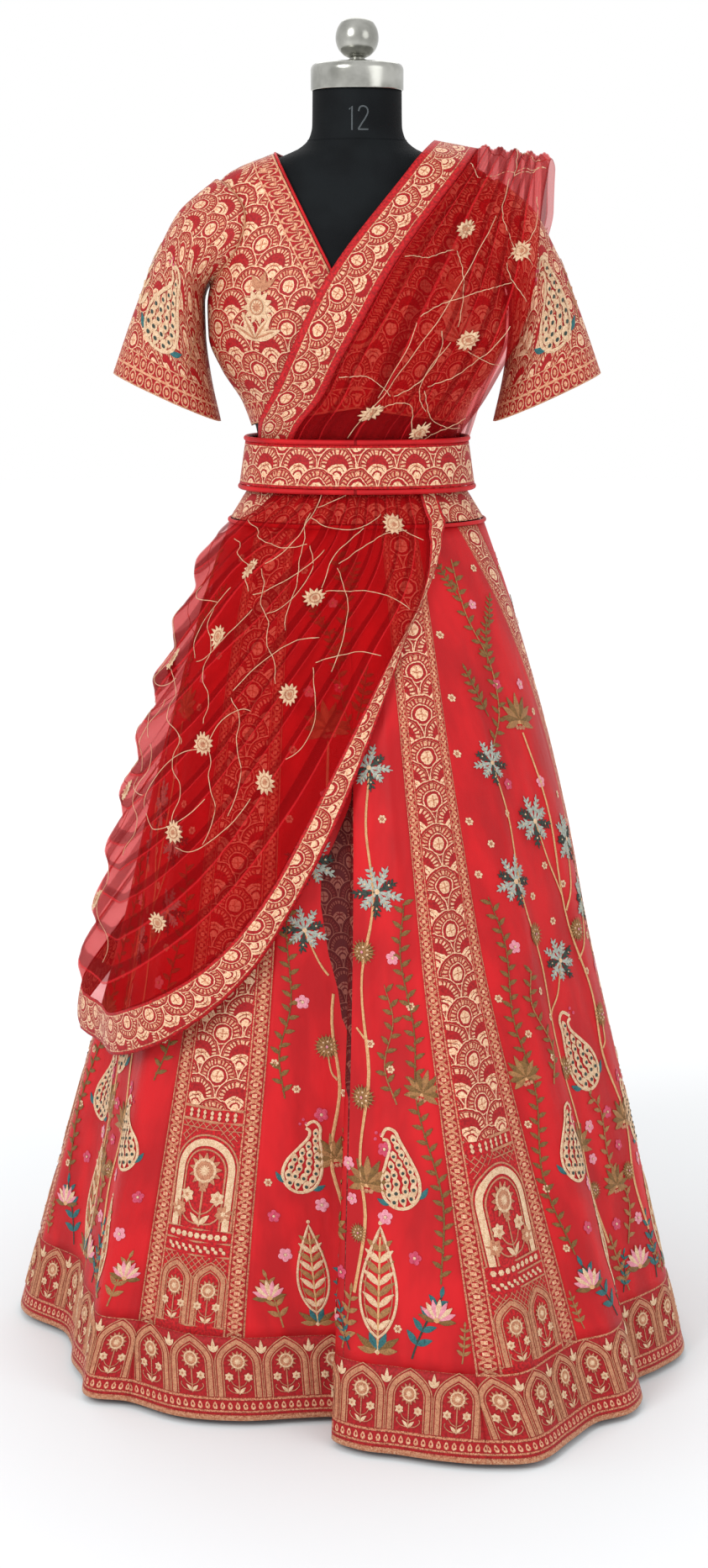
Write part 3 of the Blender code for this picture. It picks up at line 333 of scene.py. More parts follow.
def srgb(code: str) -> tuple[float, float, float, float]:
    """A colour code such as C8141E as the linear colour that a shader takes."""
    parts = [int(code[i:i + 2], 16) / 255 for i in (0, 2, 4)]
    linear = [c / 12.92 if c <= 0.04045 else ((c + 0.055) / 1.055)**2.4 for c in parts]
    return (linear[0], linear[1], linear[2], 1.0)


class Wire:
    """A number that flows between shader nodes; Python's operators add Math nodes."""

    def __init__(self, board: Board, socket: bpy.types.NodeSocket) -> None:
        """Wrap an output socket of a board's node."""
        self.board = board
        self.socket = socket

    def math(self, operation: str, *others: Wire | float) -> Wire:
        """A Math node on this number and others."""
        sockets = dict(enumerate((self, *others)))
        node = self.board.add("ShaderNodeMath", {"operation": operation}, sockets)
        return Wire(self.board, node.outputs[0])

    def _reflected(self, operation: str, first: float) -> Wire:
        """A Math node with a plain number in front."""
        node = self.board.add("ShaderNodeMath", {"operation": operation}, {0: first, 1: self})
        return Wire(self.board, node.outputs[0])

    def __add__(self, other: Wire | float) -> Wire:
        """self + other."""
        return self.math("ADD", other)

    __radd__ = __add__

    def __sub__(self, other: Wire | float) -> Wire:
        """self - other."""
        return self.math("SUBTRACT", other)

    def __rsub__(self, other: float) -> Wire:
        """other - self."""
        return self._reflected("SUBTRACT", other)

    def __mul__(self, other: Wire | float) -> Wire:
        """self * other."""
        return self.math("MULTIPLY", other)

    __rmul__ = __mul__

    def __truediv__(self, other: Wire | float) -> Wire:
        """self / other."""
        return self.math("DIVIDE", other)

    def __rtruediv__(self, other: float) -> Wire:
        """other / self."""
        return self._reflected("DIVIDE", other)

    def __lt__(self, other: Wire | float) -> Wire:
        """1 where self is less than other, else 0."""
        return self.math("LESS_THAN", other)

    def __gt__(self, other: Wire | float) -> Wire:
        """1 where self is more than other, else 0."""
        return self.math("GREATER_THAN", other)

    def __abs__(self) -> Wire:
        """The size of self."""
        return self.math("ABSOLUTE")

    def floor(self) -> Wire:
        """The whole number below."""
        return self.math("FLOOR")

    def fract(self) -> Wire:
        """What is over the whole number below."""
        return self.math("FRACT")

    def sin(self) -> Wire:
        """Sine of self in radians."""
        return self.math("SINE")

    def sqrt(self) -> Wire:
        """Square root."""
        return self.math("SQRT")

    def least(self, other: Wire | float) -> Wire:
        """The smaller of two."""
        return self.math("MINIMUM", other)

    def most(self, other: Wire | float) -> Wire:
        """The larger of two."""
        return self.math("MAXIMUM", other)

    def saw(self, period: float) -> Wire:
        """Distance to the nearest multiple of period, from 0 to half of it."""
        return abs((self / period + 0.5).fract() - 0.5) * period

    def ramp(self, *stops: tuple[float, float]) -> Wire:
        """self read through a curve of (place, value) stops."""
        grey = [(place, (value, value, value, 1.0)) for place, value in stops]
        node = self.board.add("ShaderNodeValToRGB", {"stops": grey}, {0: self})
        return Wire(self.board, node.outputs[0])

    def step(self, low: float, high: float) -> Wire:
        """Smooth step from 0 at low to 1 at high."""
        node = self.board.add("ShaderNodeMapRange", {"interpolation_type": "SMOOTHSTEP"},
                              {0: self, 1: low, 2: high})
        return Wire(self.board, node.outputs[0])

    def within(self, low: float, high: float, soft: float) -> Wire:
        """1 between low and high, with soft edges."""
        return self.step(low - soft, low + soft) * (1 - self.step(high - soft, high + soft))


Socket = "bpy.types.NodeSocket | Wire | float | Sequence[float]"


class Board:
    """One material's nodes, with one way of adding any of them."""

    def __init__(self, name: str, **constants: float) -> None:
        """Make a material; constants are shader sockets, with _ for a space."""
        self.material = bpy.data.materials.new(name)
        self.material.use_nodes = True
        self.tree = self.material.node_tree
        self.shader = self.tree.nodes["Principled BSDF"]
        for socket, value in constants.items():
            self.shader.inputs[socket.replace("_", " ")].default_value = value

    def put(self, socket: bpy.types.NodeSocket, value: Socket) -> None:
        """Link a value to a socket, or set it there."""
        value = value.socket if isinstance(value, Wire) else value
        if isinstance(value, bpy.types.NodeSocket):
            self.tree.links.new(value, socket)
        else:
            socket.default_value = value

    def add(self, kind: str, settings: Mapping[str, object] | None = None,
            sockets: Mapping[int | str, Socket] | None = None) -> bpy.types.Node:
        """Add a node.

        Args:
            kind: the node's type.
            settings: its properties, set first; stops are a colour ramp's.
            sockets: values or links of its inputs, by index or name.

        Returns:
            The node.
        """
        node = self.tree.nodes.new(kind)
        for key, value in (settings or {}).items():
            if key == "stops":
                while len(node.color_ramp.elements) < len(value):
                    node.color_ramp.elements.new(1.0)
                for element, (place, color) in zip(node.color_ramp.elements, value):
                    element.position, element.color = place, color
            else:
                setattr(node, key, value)
        for key, value in (sockets or {}).items():
            self.put(node.inputs[key], value)
        return node

    def mix(self, factor: Wire | float, a: Socket, b: Socket, blend: str = "MIX") -> Socket:
        """Colour a turned towards colour b."""
        node = self.add("ShaderNodeMix", {"data_type": "RGBA", "blend_type": blend},
                        {0: factor, 6: a, 7: b})
        return node.outputs[2]

    def cloth(self, layer: str) -> tuple[Wire, Wire]:
        """The two numbers that a cloth keeps in one of its UV layers."""
        place = self.add("ShaderNodeUVMap", {"uv_map": layer})
        parts = self.add("ShaderNodeSeparateXYZ", None, {0: place.outputs[0]})
        return Wire(self, parts.outputs[0]), Wire(self, parts.outputs[1])

    def noise(self, u: Wire, v: Wire, size: float, stretch: float = 1.0, detail: float = 2.0) -> Wire:
        """Noise from 0 to 1 whose grains are about size across and stretch times as long."""
        place = self.add("ShaderNodeCombineXYZ", None, {0: u / size, 1: v / (size * stretch)})
        node = self.add("ShaderNodeTexNoise", {"noise_dimensions": "2D"},
                        {"Vector": place.outputs[0], "Scale": 1.0, "Detail": detail})
        return Wire(self, node.outputs[0])

    def place(self) -> tuple[Wire, Wire]:
        """Metres east and north in the object's own space."""
        place = self.add("ShaderNodeTexCoord")
        parts = self.add("ShaderNodeSeparateXYZ", None, {0: place.outputs["Object"]})
        return Wire(self, parts.outputs[0]), Wire(self, parts.outputs[1])

    def place_noise(self, size: float, detail: float = 2.0) -> Wire:
        """Noise in space, for pieces with no cloth layer."""
        place = self.add("ShaderNodeTexCoord")
        node = self.add("ShaderNodeTexNoise", None,
                        {"Vector": place.outputs["Object"], "Scale": 1 / size, "Detail": detail})
        return Wire(self, node.outputs[0])

    def finish(self, color: Socket, roughness: Socket = 0.6, metallic: Socket = 0.0,
               relief: Wire | None = None, height: float = 0.0004) -> Material:
        """Feed the shader.

        Args:
            color: base colour.
            roughness: roughness.
            metallic: metallic.
            relief: height of the surface from 0 to 1, for a bump.
            height: how high a relief of 1 stands.

        Returns:
            The material.
        """
        self.put(self.shader.inputs["Base Color"], color)
        self.put(self.shader.inputs["Roughness"], roughness)
        self.put(self.shader.inputs["Metallic"], metallic)
        if relief is not None:
            bump = self.add("ShaderNodeBump", None,
                            {"Strength": 1.0, "Distance": height, "Height": relief})
            self.put(self.shader.inputs["Normal"], bump.outputs["Normal"])
        return self.material

    def dye(self, cover: Wire, tint: tuple[float, float, float, float]) -> None:
        """Let light through a finished cloth, dyed by tint where cover is under 1."""
        clear = self.add("ShaderNodeBsdfTransparent", None, {0: tint})
        both = self.add("ShaderNodeMixShader", None,
                        {0: cover, 1: clear.outputs[0], 2: self.shader.outputs[0]})
        self.put(self.tree.nodes["Material Output"].inputs["Surface"], both.outputs[0])


# Finishes

SATIN_RED = srgb("C4151C")
# Satin between gold threads, darker than SATIN_RED as painted shade between the threads
SHADED_GROUND_RED = srgb("AA1418")
NET_TINT = srgb("FCDCDC")
# Gold thread tones: ZARI_DARK, the darkest, is partly uneven thread tone and partly painted shade;
# ZARI_CREAM is the pattern's brightest parts and the painted glints
ZARI_DARK = srgb("8E3826")
ZARI_ROSE = srgb("C88462")
ZARI_CREAM = srgb("EACAA6")


@dataclass(frozen=True)
class Satin:
    """Plain satin with a fine cross weave and soft uneven tone."""

    name: str
    color: tuple[float, float, float, float] = SATIN_RED
    shade: tuple[float, float, float, float] = srgb("A80F16")

    def start(self) -> tuple[Board, Wire, Wire, Wire, Socket]:
        """The board, the cloth's coordinates, its unevenness and its colour."""
        board = Board(self.name, Specular_IOR_Level=0.20)
        u, v = board.cloth("cloth")
        soft = board.noise(u, v, 0.045, 2.5, 3.0)
        return board, u, v, soft, board.mix(soft.step(0.30, 0.72), self.shade, self.color)

    def make(self) -> Material:
        """Build the material."""
        board, u, v, soft, color = self.start()
        weave = (u * 9000).sin() * 0.5 + (v * 9000).sin() * 0.5
        relief = soft * 6.0 + weave * 0.12 + board.noise(u, v, 0.0016, 1.0, 2.0) * 0.4
        return board.finish(color, 0.46 + soft * 0.14, 0.0, relief, 0.0005)


LINING = Satin("lining", srgb("B5161C"), srgb("8A0D12"))
PIPING = Satin("red_satin")

# The slip in the deep fold, scale cloth darkened as painted shade: height above the hem and left side,
# from the panel's middle
SLIP_LEFT = ((0.380, 0.013), (0.461, -0.024), (0.494, -0.026), (0.534, -0.034), (0.590, -0.038),
             (0.633, -0.034), (0.660, -0.018), (0.723, 0.014))
SLIP_RIGHT = 0.015
SLIP_PANEL = "kali_red_2"


def in_slip(x: float, y: float, spare: float = 0.0) -> bool:
    """Whether a point of the panel is on the slip or within spare metres of it."""
    heights, lefts = zip(*SLIP_LEFT)
    if not heights[0] - spare < y < heights[-1] + spare:
        return False
    return float(np.interp(y, heights, lefts)) - spare < x < SLIP_RIGHT + spare


@dataclass(frozen=True)
class Marks:
    """What a pattern draws: where gold is, how bright it is and how high it stands."""

    gold: Wire
    bright: Wire


@dataclass(frozen=True)
class FishScales:
    """Rows of overlapping scales, one row with medallions and the next with crescents."""

    width: float = 0.048
    height: float = 0.0235
    ticks: float = 26.0

    def draw(self, board: Board, u: Wire, v: Wire) -> Marks:
        """Draw the scales on cloth coordinates.

        Args:
            board: the material's nodes.
            u: metres across the rows' middle.
            v: metres up the rows.

        Returns:
            Where the gold is and how bright.
        """
        wobble = board.noise(u, v, 0.010, 1.0, 2.0) - 0.5
        t = v / self.height + wobble * 0.16
        low = t.floor()
        f = t - low
        parity = (low * 0.5).fract() * 2
        across = (u / self.width + 0.5 + parity * 0.5 + wobble * 0.07).fract()
        du = abs(across - 0.5) * 2
        front = (du * du + f * f) < 1.0
        x = (1 - du) + front * (du * 2 - 1)
        y = f - 1 + front
        crescent = (1 - parity) + front * (parity * 2 - 1)
        d = (x * x + y * y).sqrt()
        rim = d.within(0.945, 1.05, 0.012)
        inner = d.within(0.835, 0.865, 0.008)
        band = d.within(0.56 + 0.02, 0.80, 0.012)
        turn = y.math("ARCTAN2", x)
        tick = (turn * self.ticks).sin().step(-0.55, 0.25)
        band = band * (tick * 0.75 + 0.25)
        low_hub = y - 0.02
        hub = (x * x + low_hub * low_hub).sqrt()
        disc = hub.ramp((0.0, 1.0), (0.30, 1.0), (0.33, 0.0), (0.44, 0.0), (0.46, 0.9),
                        (0.50, 0.9), (0.53, 0.0), (1.0, 0.0))
        cross = (x.least(abs(low_hub)) < 0.030) * (hub < 0.25)
        fan_y = y + 0.42
        fan_at = (x * x + fan_y * fan_y).sqrt()
        fan = fan_at.ramp((0.0, 1.0), (0.17, 1.0), (0.20, 0.15), (0.25, 0.15), (0.28, 1.0),
                          (0.38, 1.0), (0.40, 0.25), (0.44, 1.0), (0.56, 1.0), (0.59, 0.0), (1.0, 0.0))
        fan = fan * (d < 0.56)
        core = disc + crescent * (fan - disc)
        gold = rim.most(inner).most(band).most(core)
        bright = core * 0.85 + rim * 0.80 + band * (0.38 + crescent * 0.25) - cross * 0.8
        return Marks(gold, bright)


@dataclass(frozen=True)
class SlipShadeSatin(Satin):
    """Satin with a slip of scale cloth that shows in the deep fold, partly real cloth and partly
    painted shade: its threads and ground are darkened.
    """

    def make(self) -> Material:
        """Build the material."""
        board, u, v, soft, satin = self.start()
        left = v.ramp((0.0, SLIP_RIGHT + 0.04), *((y, x + 0.04) for y, x in SLIP_LEFT),
                      (1.0, SLIP_RIGHT + 0.04)) - 0.04
        slip = (u - left).step(-0.0004, 0.0004) * (1 - (u - SLIP_RIGHT).step(-0.0004, 0.0004))
        scales = FishScales(0.034, 0.0200).draw(board, u, v)
        # painted shade: the slip's threads and ground are dark, standing in for the shadow deep in the
        # fold
        thread = board.mix(scales.bright.step(0.2, 1.0), srgb("6A1410"), srgb("A06050"))
        dark = board.mix(scales.gold * 0.50, srgb("4C0407"), thread)
        relief = soft * 6.0 + slip * scales.gold
        return board.finish(board.mix(slip, satin, dark), 0.46 + soft * 0.14, 0.0, relief, 0.0005)


def zari(board: Board, u: Wire, v: Wire, marks: Marks,
         ground: Socket = SHADED_GROUND_RED, height: float = 0.0008) -> Material:
    """Finish a cloth of gold thread over satin, with painted glints on the thread and painted shade on
    the satin between.

    Args:
        board: the material's nodes.
        u: metres across.
        v: metres along.
        marks: where the gold is and how bright.
        ground: colour of the satin between the threads, darkened there as painted shade.
        height: how high the gold stands.

    Returns:
        The material.
    """
    grain = board.noise(u, v, 0.0010, 1.5, 2.0)
    # glint: noise that lifts the thread towards ZARI_CREAM in spots as painted glints, and where it is
    # low darkens the satin between as painted shade
    glint = board.noise(u, v, 0.0030, 1.0, 3.0)
    light = marks.bright * 0.62 + (glint - 0.5) * 1.2 + (grain - 0.5) * 1.3 + 0.26
    thread = board.mix(light.step(-0.20, 0.45), ZARI_DARK, ZARI_ROSE)
    thread = board.mix(light.step(0.35, 1.10), thread, ZARI_CREAM)
    worn = marks.gold * (0.70 + marks.bright * 0.35) + (grain - 0.5) * 1.0
    ragged = worn.step(0.30, 0.62) * (marks.gold > 0.12)
    # painted shade: the satin between the threads goes darker still in patches where glint is low
    shaded = board.mix(glint.step(0.2, 0.8), srgb("82090E"), ground)
    color = board.mix(ragged, shaded, thread)
    relief = ragged * 0.75 + grain * ragged * 0.6
    return board.finish(color, 0.58 - ragged * 0.10, ragged * 0.15, relief, height)


@dataclass(frozen=True)
class GoldPanel:
    """Gold skirt panel: a field of scales between two dense strips."""

    name: str
    field_low: float
    strip: float = 0.36

    def make(self) -> Material:
        """Build the material."""
        board = Board(self.name, Specular_IOR_Level=0.25)
        u, v = board.cloth("cloth")
        q, _ = board.cloth("edges")
        scales = FishScales(0.050, 0.0242).draw(board, u, v)
        w = q / self.strip
        zig = (v.saw(0.0125)) / 0.00625
        petals = abs(abs(w - 0.5) * 2 - zig) < 0.30
        hubs = ((v + 0.00625).saw(0.0125) / 0.0022).most(abs(w - 0.5) * 7.0) < 1.0
        dense = petals.most(hubs)
        lines = w.ramp((0.0, 1.0), (0.075, 1.0), (0.09, 0.0), (0.14, 0.0), (0.15, 0.5),
                       (0.84, 0.5), (0.85, 0.0), (0.90, 0.0), (0.915, 1.0), (1.0, 1.0))
        strip = (lines > 0.75).most((lines > 0.25) * dense)
        in_strip = 1 - q.step(self.strip - 0.004, self.strip + 0.004)
        field_mask = (1 - in_strip) * (v > self.field_low) * (q > self.strip + 0.03)
        gold = in_strip * strip + field_mask * scales.gold
        bright = in_strip * (hubs * 0.4 + 0.05) + field_mask * scales.bright
        # painted shade: within the gold field and strips the satin between the threads is darker
        ground = board.mix(field_mask + in_strip, SATIN_RED, SHADED_GROUND_RED)
        return zari(board, u, v, Marks(gold, bright), ground)


@dataclass(frozen=True)
class ScaleCloth:
    """Cloth of scales with a gold edge: choli, sleeves, belt, waistband and dupatta border."""

    name: str
    width: float = 0.046
    height: float = 0.0225
    shift: float = 0.0
    piping: float = 0.0
    edge: float = 0.0
    edge_rows: float = 1.0
    turned: bool = False

    def make(self) -> Material:
        """Build the material."""
        board = Board(self.name, Specular_IOR_Level=0.25)
        u, v = board.cloth("cloth")
        e, along = board.cloth("edges")
        across, up = (v, u + self.shift) if self.turned else (u, v + self.shift)
        scales = FishScales(self.width, self.height).draw(board, across, up)
        gold, bright = scales.gold, scales.bright
        # painted shade: the satin between the threads is darker than plain satin
        ground = SHADED_GROUND_RED
        if self.edge:
            w = (e - self.piping) / self.edge
            row = (w * self.edge_rows).fract()
            drop = along.saw(0.012) / 0.006
            bead = ((drop * drop + (row * 2 - 1) * (row * 2 - 1)).sqrt()).ramp(
                (0.0, 1.0), (0.34, 1.0), (0.40, 0.0), (0.60, 0.0), (0.66, 1.0), (0.84, 1.0),
                (0.90, 0.0), (1.0, 0.0))
            rule = (row < 0.09).most(row > 0.93)
            trim = bead.most(rule)
            in_edge = 1 - w.step(0.99, 1.01)
            gold = gold + in_edge * (trim - gold)
            bright = bright + in_edge * (0.35 - bright)
        if self.piping:
            bare = 1 - e.step(self.piping - 0.0003, self.piping + 0.0003)
            line = e.within(self.piping, self.piping + 0.0014, 0.0003)
            gold = (gold * (1 - bare)).most(line)
            ground = board.mix(bare, SHADED_GROUND_RED, SATIN_RED)
        return zari(board, u, v, Marks(gold, bright), ground)


@dataclass(frozen=True)
class HemCloth:
    """Hem border: rules, a row of drops and a scalloped gold edge; the arches are raised."""

    name: str
    tall: float

    def make(self) -> Material:
        """Build the material."""
        board = Board(self.name, Specular_IOR_Level=0.25)
        u, v = board.cloth("cloth")
        scallop = v + u.saw(0.011) * 0.25
        rules = (v / self.tall).ramp((0.0, 1.0), (0.055, 1.0), (0.07, 0.0), (0.085, 0.0),
                                     (0.095, 1.0), (0.11, 1.0), (0.12, 0.0), (0.225, 0.0),
                                     (0.235, 1.0), (0.255, 1.0), (0.27, 0.0), (0.945, 0.0),
                                     (0.955, 1.0), (1.0, 1.0))
        dv = (v - self.tall * 0.168) / 0.0042
        du = u.saw(0.0086) / (0.0026 - dv * 0.0010)
        drop = (du * du + dv * dv).sqrt().within(0.35, 1.0, 0.10)
        edge = 1 - scallop.step(0.0045, 0.0055)
        gold = rules.most(drop).most(edge)
        # the satin between the threads is darkened as painted shade
        return zari(board, u, v, Marks(gold, edge * 0.3 + drop * 0.4), srgb("A8141A"))


@dataclass(frozen=True)
class Net:
    """Sheer net, closer where its folds turn away; its red is darker on the double layers, partly a
    real double layer and partly painted shade, darker on one slope of each fold as painted shade, and
    lighter on the crests as a painted highlight.
    """

    name: str
    folds: float

    def make(self) -> Material:
        """Build the material."""
        board = Board(self.name, Specular_IOR_Level=0.05)
        u, v = board.cloth("cloth")
        across, _ = board.cloth("edges")
        drift = board.noise(across, v * 1.2, 0.60, 1.0, 1.0) - 0.5
        phase = across * self.folds + drift * 1.4 + (across * 9.0).sin() * 0.4
        pleat = phase.fract()
        width = 0.36 + (board.noise(phase.floor(), v * 3.0, 1.0, 1.0, 1.0) - 0.5) * 0.9
        double = pleat.step(0.0, 0.04) * (1 - (pleat - width).step(-0.015, 0.015))
        crest_highlight = (pleat - width).within(-0.055, 0.0, 0.012)
        slope = (pleat * 6.2832).sin() * 0.5 + 0.5
        mesh = board.noise(u, v, 0.0016, 1.0, 1.0)
        cover = 0.17 + double * 0.22 + slope * 0.06 + crest_highlight * 0.10 + (mesh - 0.5) * 0.10
        # painted shade: darker red on the double layers, partly a real double layer, and on one slope
        # of each fold
        color = board.mix((double * 0.8 + slope * 0.2).least(1.0), srgb("C0161C"), srgb("84070C"))
        # painted highlight: lighter red along each fold's crest
        color = board.mix(crest_highlight, color, srgb("C82228"))
        board.dye(cover, NET_TINT)
        return board.finish(color, 0.80 + mesh * 0.1, 0.0, slope + mesh * 0.05, 0.0024)


class Thread(Enum):
    """Threads of the raised embroidery: colour and darker tone."""

    CREAM = ("E2C6A4", "B07E58")
    GOLD = ("C68C68", "8A4630")
    TAN = ("D8A878", "A87444")
    OLIVE = ("86602E", "4A3014")
    BRONZE = ("A87848", "6A4424")
    SILVER = ("B4B8AE", "747C70")
    SPRUCE = ("38443C", "181E1A")
    TEAL = ("2E6E70", "143C42")
    PINK = ("E09AA6", "BC5C70")
    ROSE = ("D04C68", "96243E")
    PRINT = ("4C5255", "3A3F42")

    def make(self) -> Material:
        """Build the thread's material, with uneven tone, painted glints and a twist of stitches."""
        light, dark = self.value
        board = Board(f"thread_{self.name.lower()}", Specular_IOR_Level=0.3)
        grain = board.place_noise(0.0013, 3.0)
        # glint: noise that lifts the thread towards its lighter tone in spots, as painted glints
        glint = board.place_noise(0.0045, 2.0)
        tone = (grain * 0.9 + glint * 0.5 - 0.20).step(0.12, 0.78)
        color = board.mix(tone, srgb(dark), srgb(light))
        return board.finish(color, 0.48 + grain * 0.15, 0.0, grain, 0.0007)


@dataclass(frozen=True)
class Clouded:
    """A smooth finish in two tones of soft clouds, with or without a knit."""

    name: str
    dark: str
    light: str
    cloud: float = 0.02
    detail: float = 3.0
    roughness: float = 0.5
    spread: float = 0.1
    metallic: float = 0.0
    knit: float = 0.0
    specular: float = 0.5

    def make(self) -> Material:
        """Build the material."""
        board = Board(self.name, Specular_IOR_Level=self.specular)
        cloud = board.place_noise(self.cloud, self.detail)
        color = board.mix(cloud.step(0.3, 0.7), srgb(self.dark), srgb(self.light))
        relief, height = cloud, 0.0001
        if self.knit:
            relief, height = board.place_noise(self.knit, 3.0), 0.0003
        rough = self.roughness + cloud * self.spread
        return board.finish(color, rough, self.metallic, relief, height)


JERSEY = Clouded("form_jersey", "0E1012", "16191B", 0.05, 2.0, 0.62, 0.15, knit=0.0012,
                 specular=0.08)
STEEL = Clouded("polished_steel", "8C8C86", "B2B2AC", 0.03, 4.0, 0.16, 0.14, 1.0)
POLE_STEEL = Clouded("brushed_steel", "8C8C86", "B2B2AC", 0.03, 4.0, 0.30, 0.14, 1.0)
BASE_PAINT = Clouded("base_paint", "15181B", "22262A")


class Wardrobe:
    """Every material, made once when it is first asked for."""

    def __init__(self) -> None:
        """Start empty."""
        self.made: dict[object, Material] = {}

    def __getitem__(self, finish: object) -> Material:
        """The material of a finish."""
        if finish not in self.made:
            self.made[finish] = finish.make()
        return self.made[finish]


# Meshes


# Slot name of each material, looked up for each piece and not kept; the gold cloths and threads are
# zari_cloth
SLOT_OF = {"swag_zari": "dupatta_border", "chest_zari": "dupatta_border",
           "dupatta_net": "red_net", "shoulder_net": "red_net", "kali_satin": "red_satin",
           "kali_slip_satin": "red_satin", "red_satin": "red_piping", "form_jersey": "form_cover",
           "thread_print": "form_cover", "polished_steel": "polished_steel",
           "brushed_steel": "polished_steel", "base_paint": "stand_base"}


def mesh_piece(name: str, points: Array, faces: Sequence[Sequence[int]],
               materials: Sequence[Material], layers: Mapping[str, Array] | None = None,
               slots: Sequence[int] | None = None) -> Piece:
    """Make one object that rides on the part.

    Args:
        name: the piece's name.
        points: its points.
        faces: its faces.
        materials: its material slots.
        layers: two numbers for each point, by UV layer name.
        slots: each face's material slot.

    Returns:
        The object.
    """
    mesh = bpy.data.meshes.new(name)
    mesh.from_pydata(np.asarray(points, float).tolist(), [], [tuple(f) for f in faces])
    corner = np.zeros(len(mesh.loops), np.int32)
    mesh.loops.foreach_get("vertex_index", corner)
    for layer, values in (layers or {}).items():
        uv = mesh.uv_layers.new(name=layer)
        uv.data.foreach_set("uv", np.asarray(values, np.float32)[corner].ravel())
    for material in materials:
        mesh.materials.append(material)
    if slots is not None:
        mesh.polygons.foreach_set("material_index", np.asarray(slots, np.int32))
    mesh.polygons.foreach_set("use_smooth", np.ones(len(mesh.polygons), bool))
    mesh.update()
    obj = shown(name, mesh)
    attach(obj, "root")
    SLOT_OF.get(materials[0].name, "zari_cloth")
    return obj


def shown(name: str, data: bpy.types.ID) -> Piece:
    """A new object in the scene."""
    obj = bpy.data.objects.new(name, data)
    bpy.context.scene.collection.objects.link(obj)
    return obj


def grid_faces(rows: int, cols: int, closed: bool = False) -> list[tuple[int, int, int, int]]:
    """Quads of a grid whose points run along the columns first."""
    last = cols if closed else cols - 1
    return [(r * cols + c, r * cols + (c + 1) % cols, (r + 1) * cols + (c + 1) % cols,
             (r + 1) * cols + c) for r in range(rows - 1) for c in range(last)]


@dataclass
class Cloth:
    """A cloth sampled finely: points, outward normals, faces and two-number layers."""

    name: str
    points: Array
    normals: Array
    faces: list[tuple[int, ...]]
    layers: dict[str, Array]
    wall: float

    @classmethod
    def grid(cls, name: str, points: Array, normals: Array, layers: Mapping[str, Array],
             wall: float, flip: bool = False) -> Cloth:
        """A cloth from a grid of points; flip turns its faces over."""
        rows, cols = points.shape[:2]
        faces = grid_faces(rows, cols)
        if flip:
            faces = [face[::-1] for face in faces]
        flat = {key: value.reshape(-1, 2) for key, value in layers.items()}
        return cls(name, points.reshape(-1, 3), normals.reshape(-1, 3), faces, flat, wall)

    def joined(self, other: Cloth) -> Cloth:
        """This cloth and another as one, with the points that they share made one."""
        count = len(self.points)
        points = np.vstack([self.points, other.points])
        keys = [tuple(p) for p in np.round(points, 6)]
        first: dict[tuple[float, ...], int] = {}
        same = [first.setdefault(key, i) for i, key in enumerate(keys)]
        kept = sorted(set(same))
        place = {old: new for new, old in enumerate(kept)}
        faces = [tuple(place[same[i]] for i in face) for face in self.faces]
        faces += [tuple(place[same[i + count]] for i in face) for face in other.faces]
        normals = np.vstack([self.normals, other.normals])
        layers = {key: np.vstack([value, other.layers[key]])[kept]
                  for key, value in self.layers.items()}
        return Cloth(self.name, points[kept], normals[kept], faces, layers, self.wall)

    def area(self) -> float:
        """Area of one side."""
        a, b, c, d = (self.points[[face[k] for face in self.faces]] for k in range(4))
        return float(np.linalg.norm(np.cross(c - a, d - b), axis=1).sum() / 2)

    def build(self, outer: Material, inner: Material) -> Piece:
        """Make the mesh, a closed thin shell with its own material inside."""
        count = len(self.points)
        outside = self.points + self.normals * self.wall
        edges = {(a, b) for f in self.faces for a, b in zip(f, (*f[1:], f[0]))}
        rim = sorted((a, b) for a, b in edges if (b, a) not in edges)
        under = [tuple(i + count for i in reversed(f)) for f in self.faces]
        sides = [(b, a, a + count, b + count) for a, b in rim]
        slots = [0] * len(self.faces) + [1] * len(under) + [0] * len(sides)
        both = {key: np.vstack([value, value]) for key, value in self.layers.items()}
        return mesh_piece(self.name, np.vstack([outside, self.points]),
                          self.faces + under + sides, [outer, inner], both, slots)


def sew(cloth: Cloth, node: str, outer: Material, inner: Material, flat: tuple[float, float],
        rests_on: str, area: float | None = None) -> None:
    """Args:
        cloth: the cloth.
        node: the solid that it stands for.
        outer: material outside.
        inner: material inside.
        flat: width and length before it was sewn. Not used.
        rests_on: the piece that it lies on or hangs from. Not used.
        area: flat area where the cut isn't a rectangle. Not used.
    """
    piece = cloth.build(outer, inner)
    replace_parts(piece, node)
    LOG.info("%s: %.4f m2", cloth.name, cloth.area())


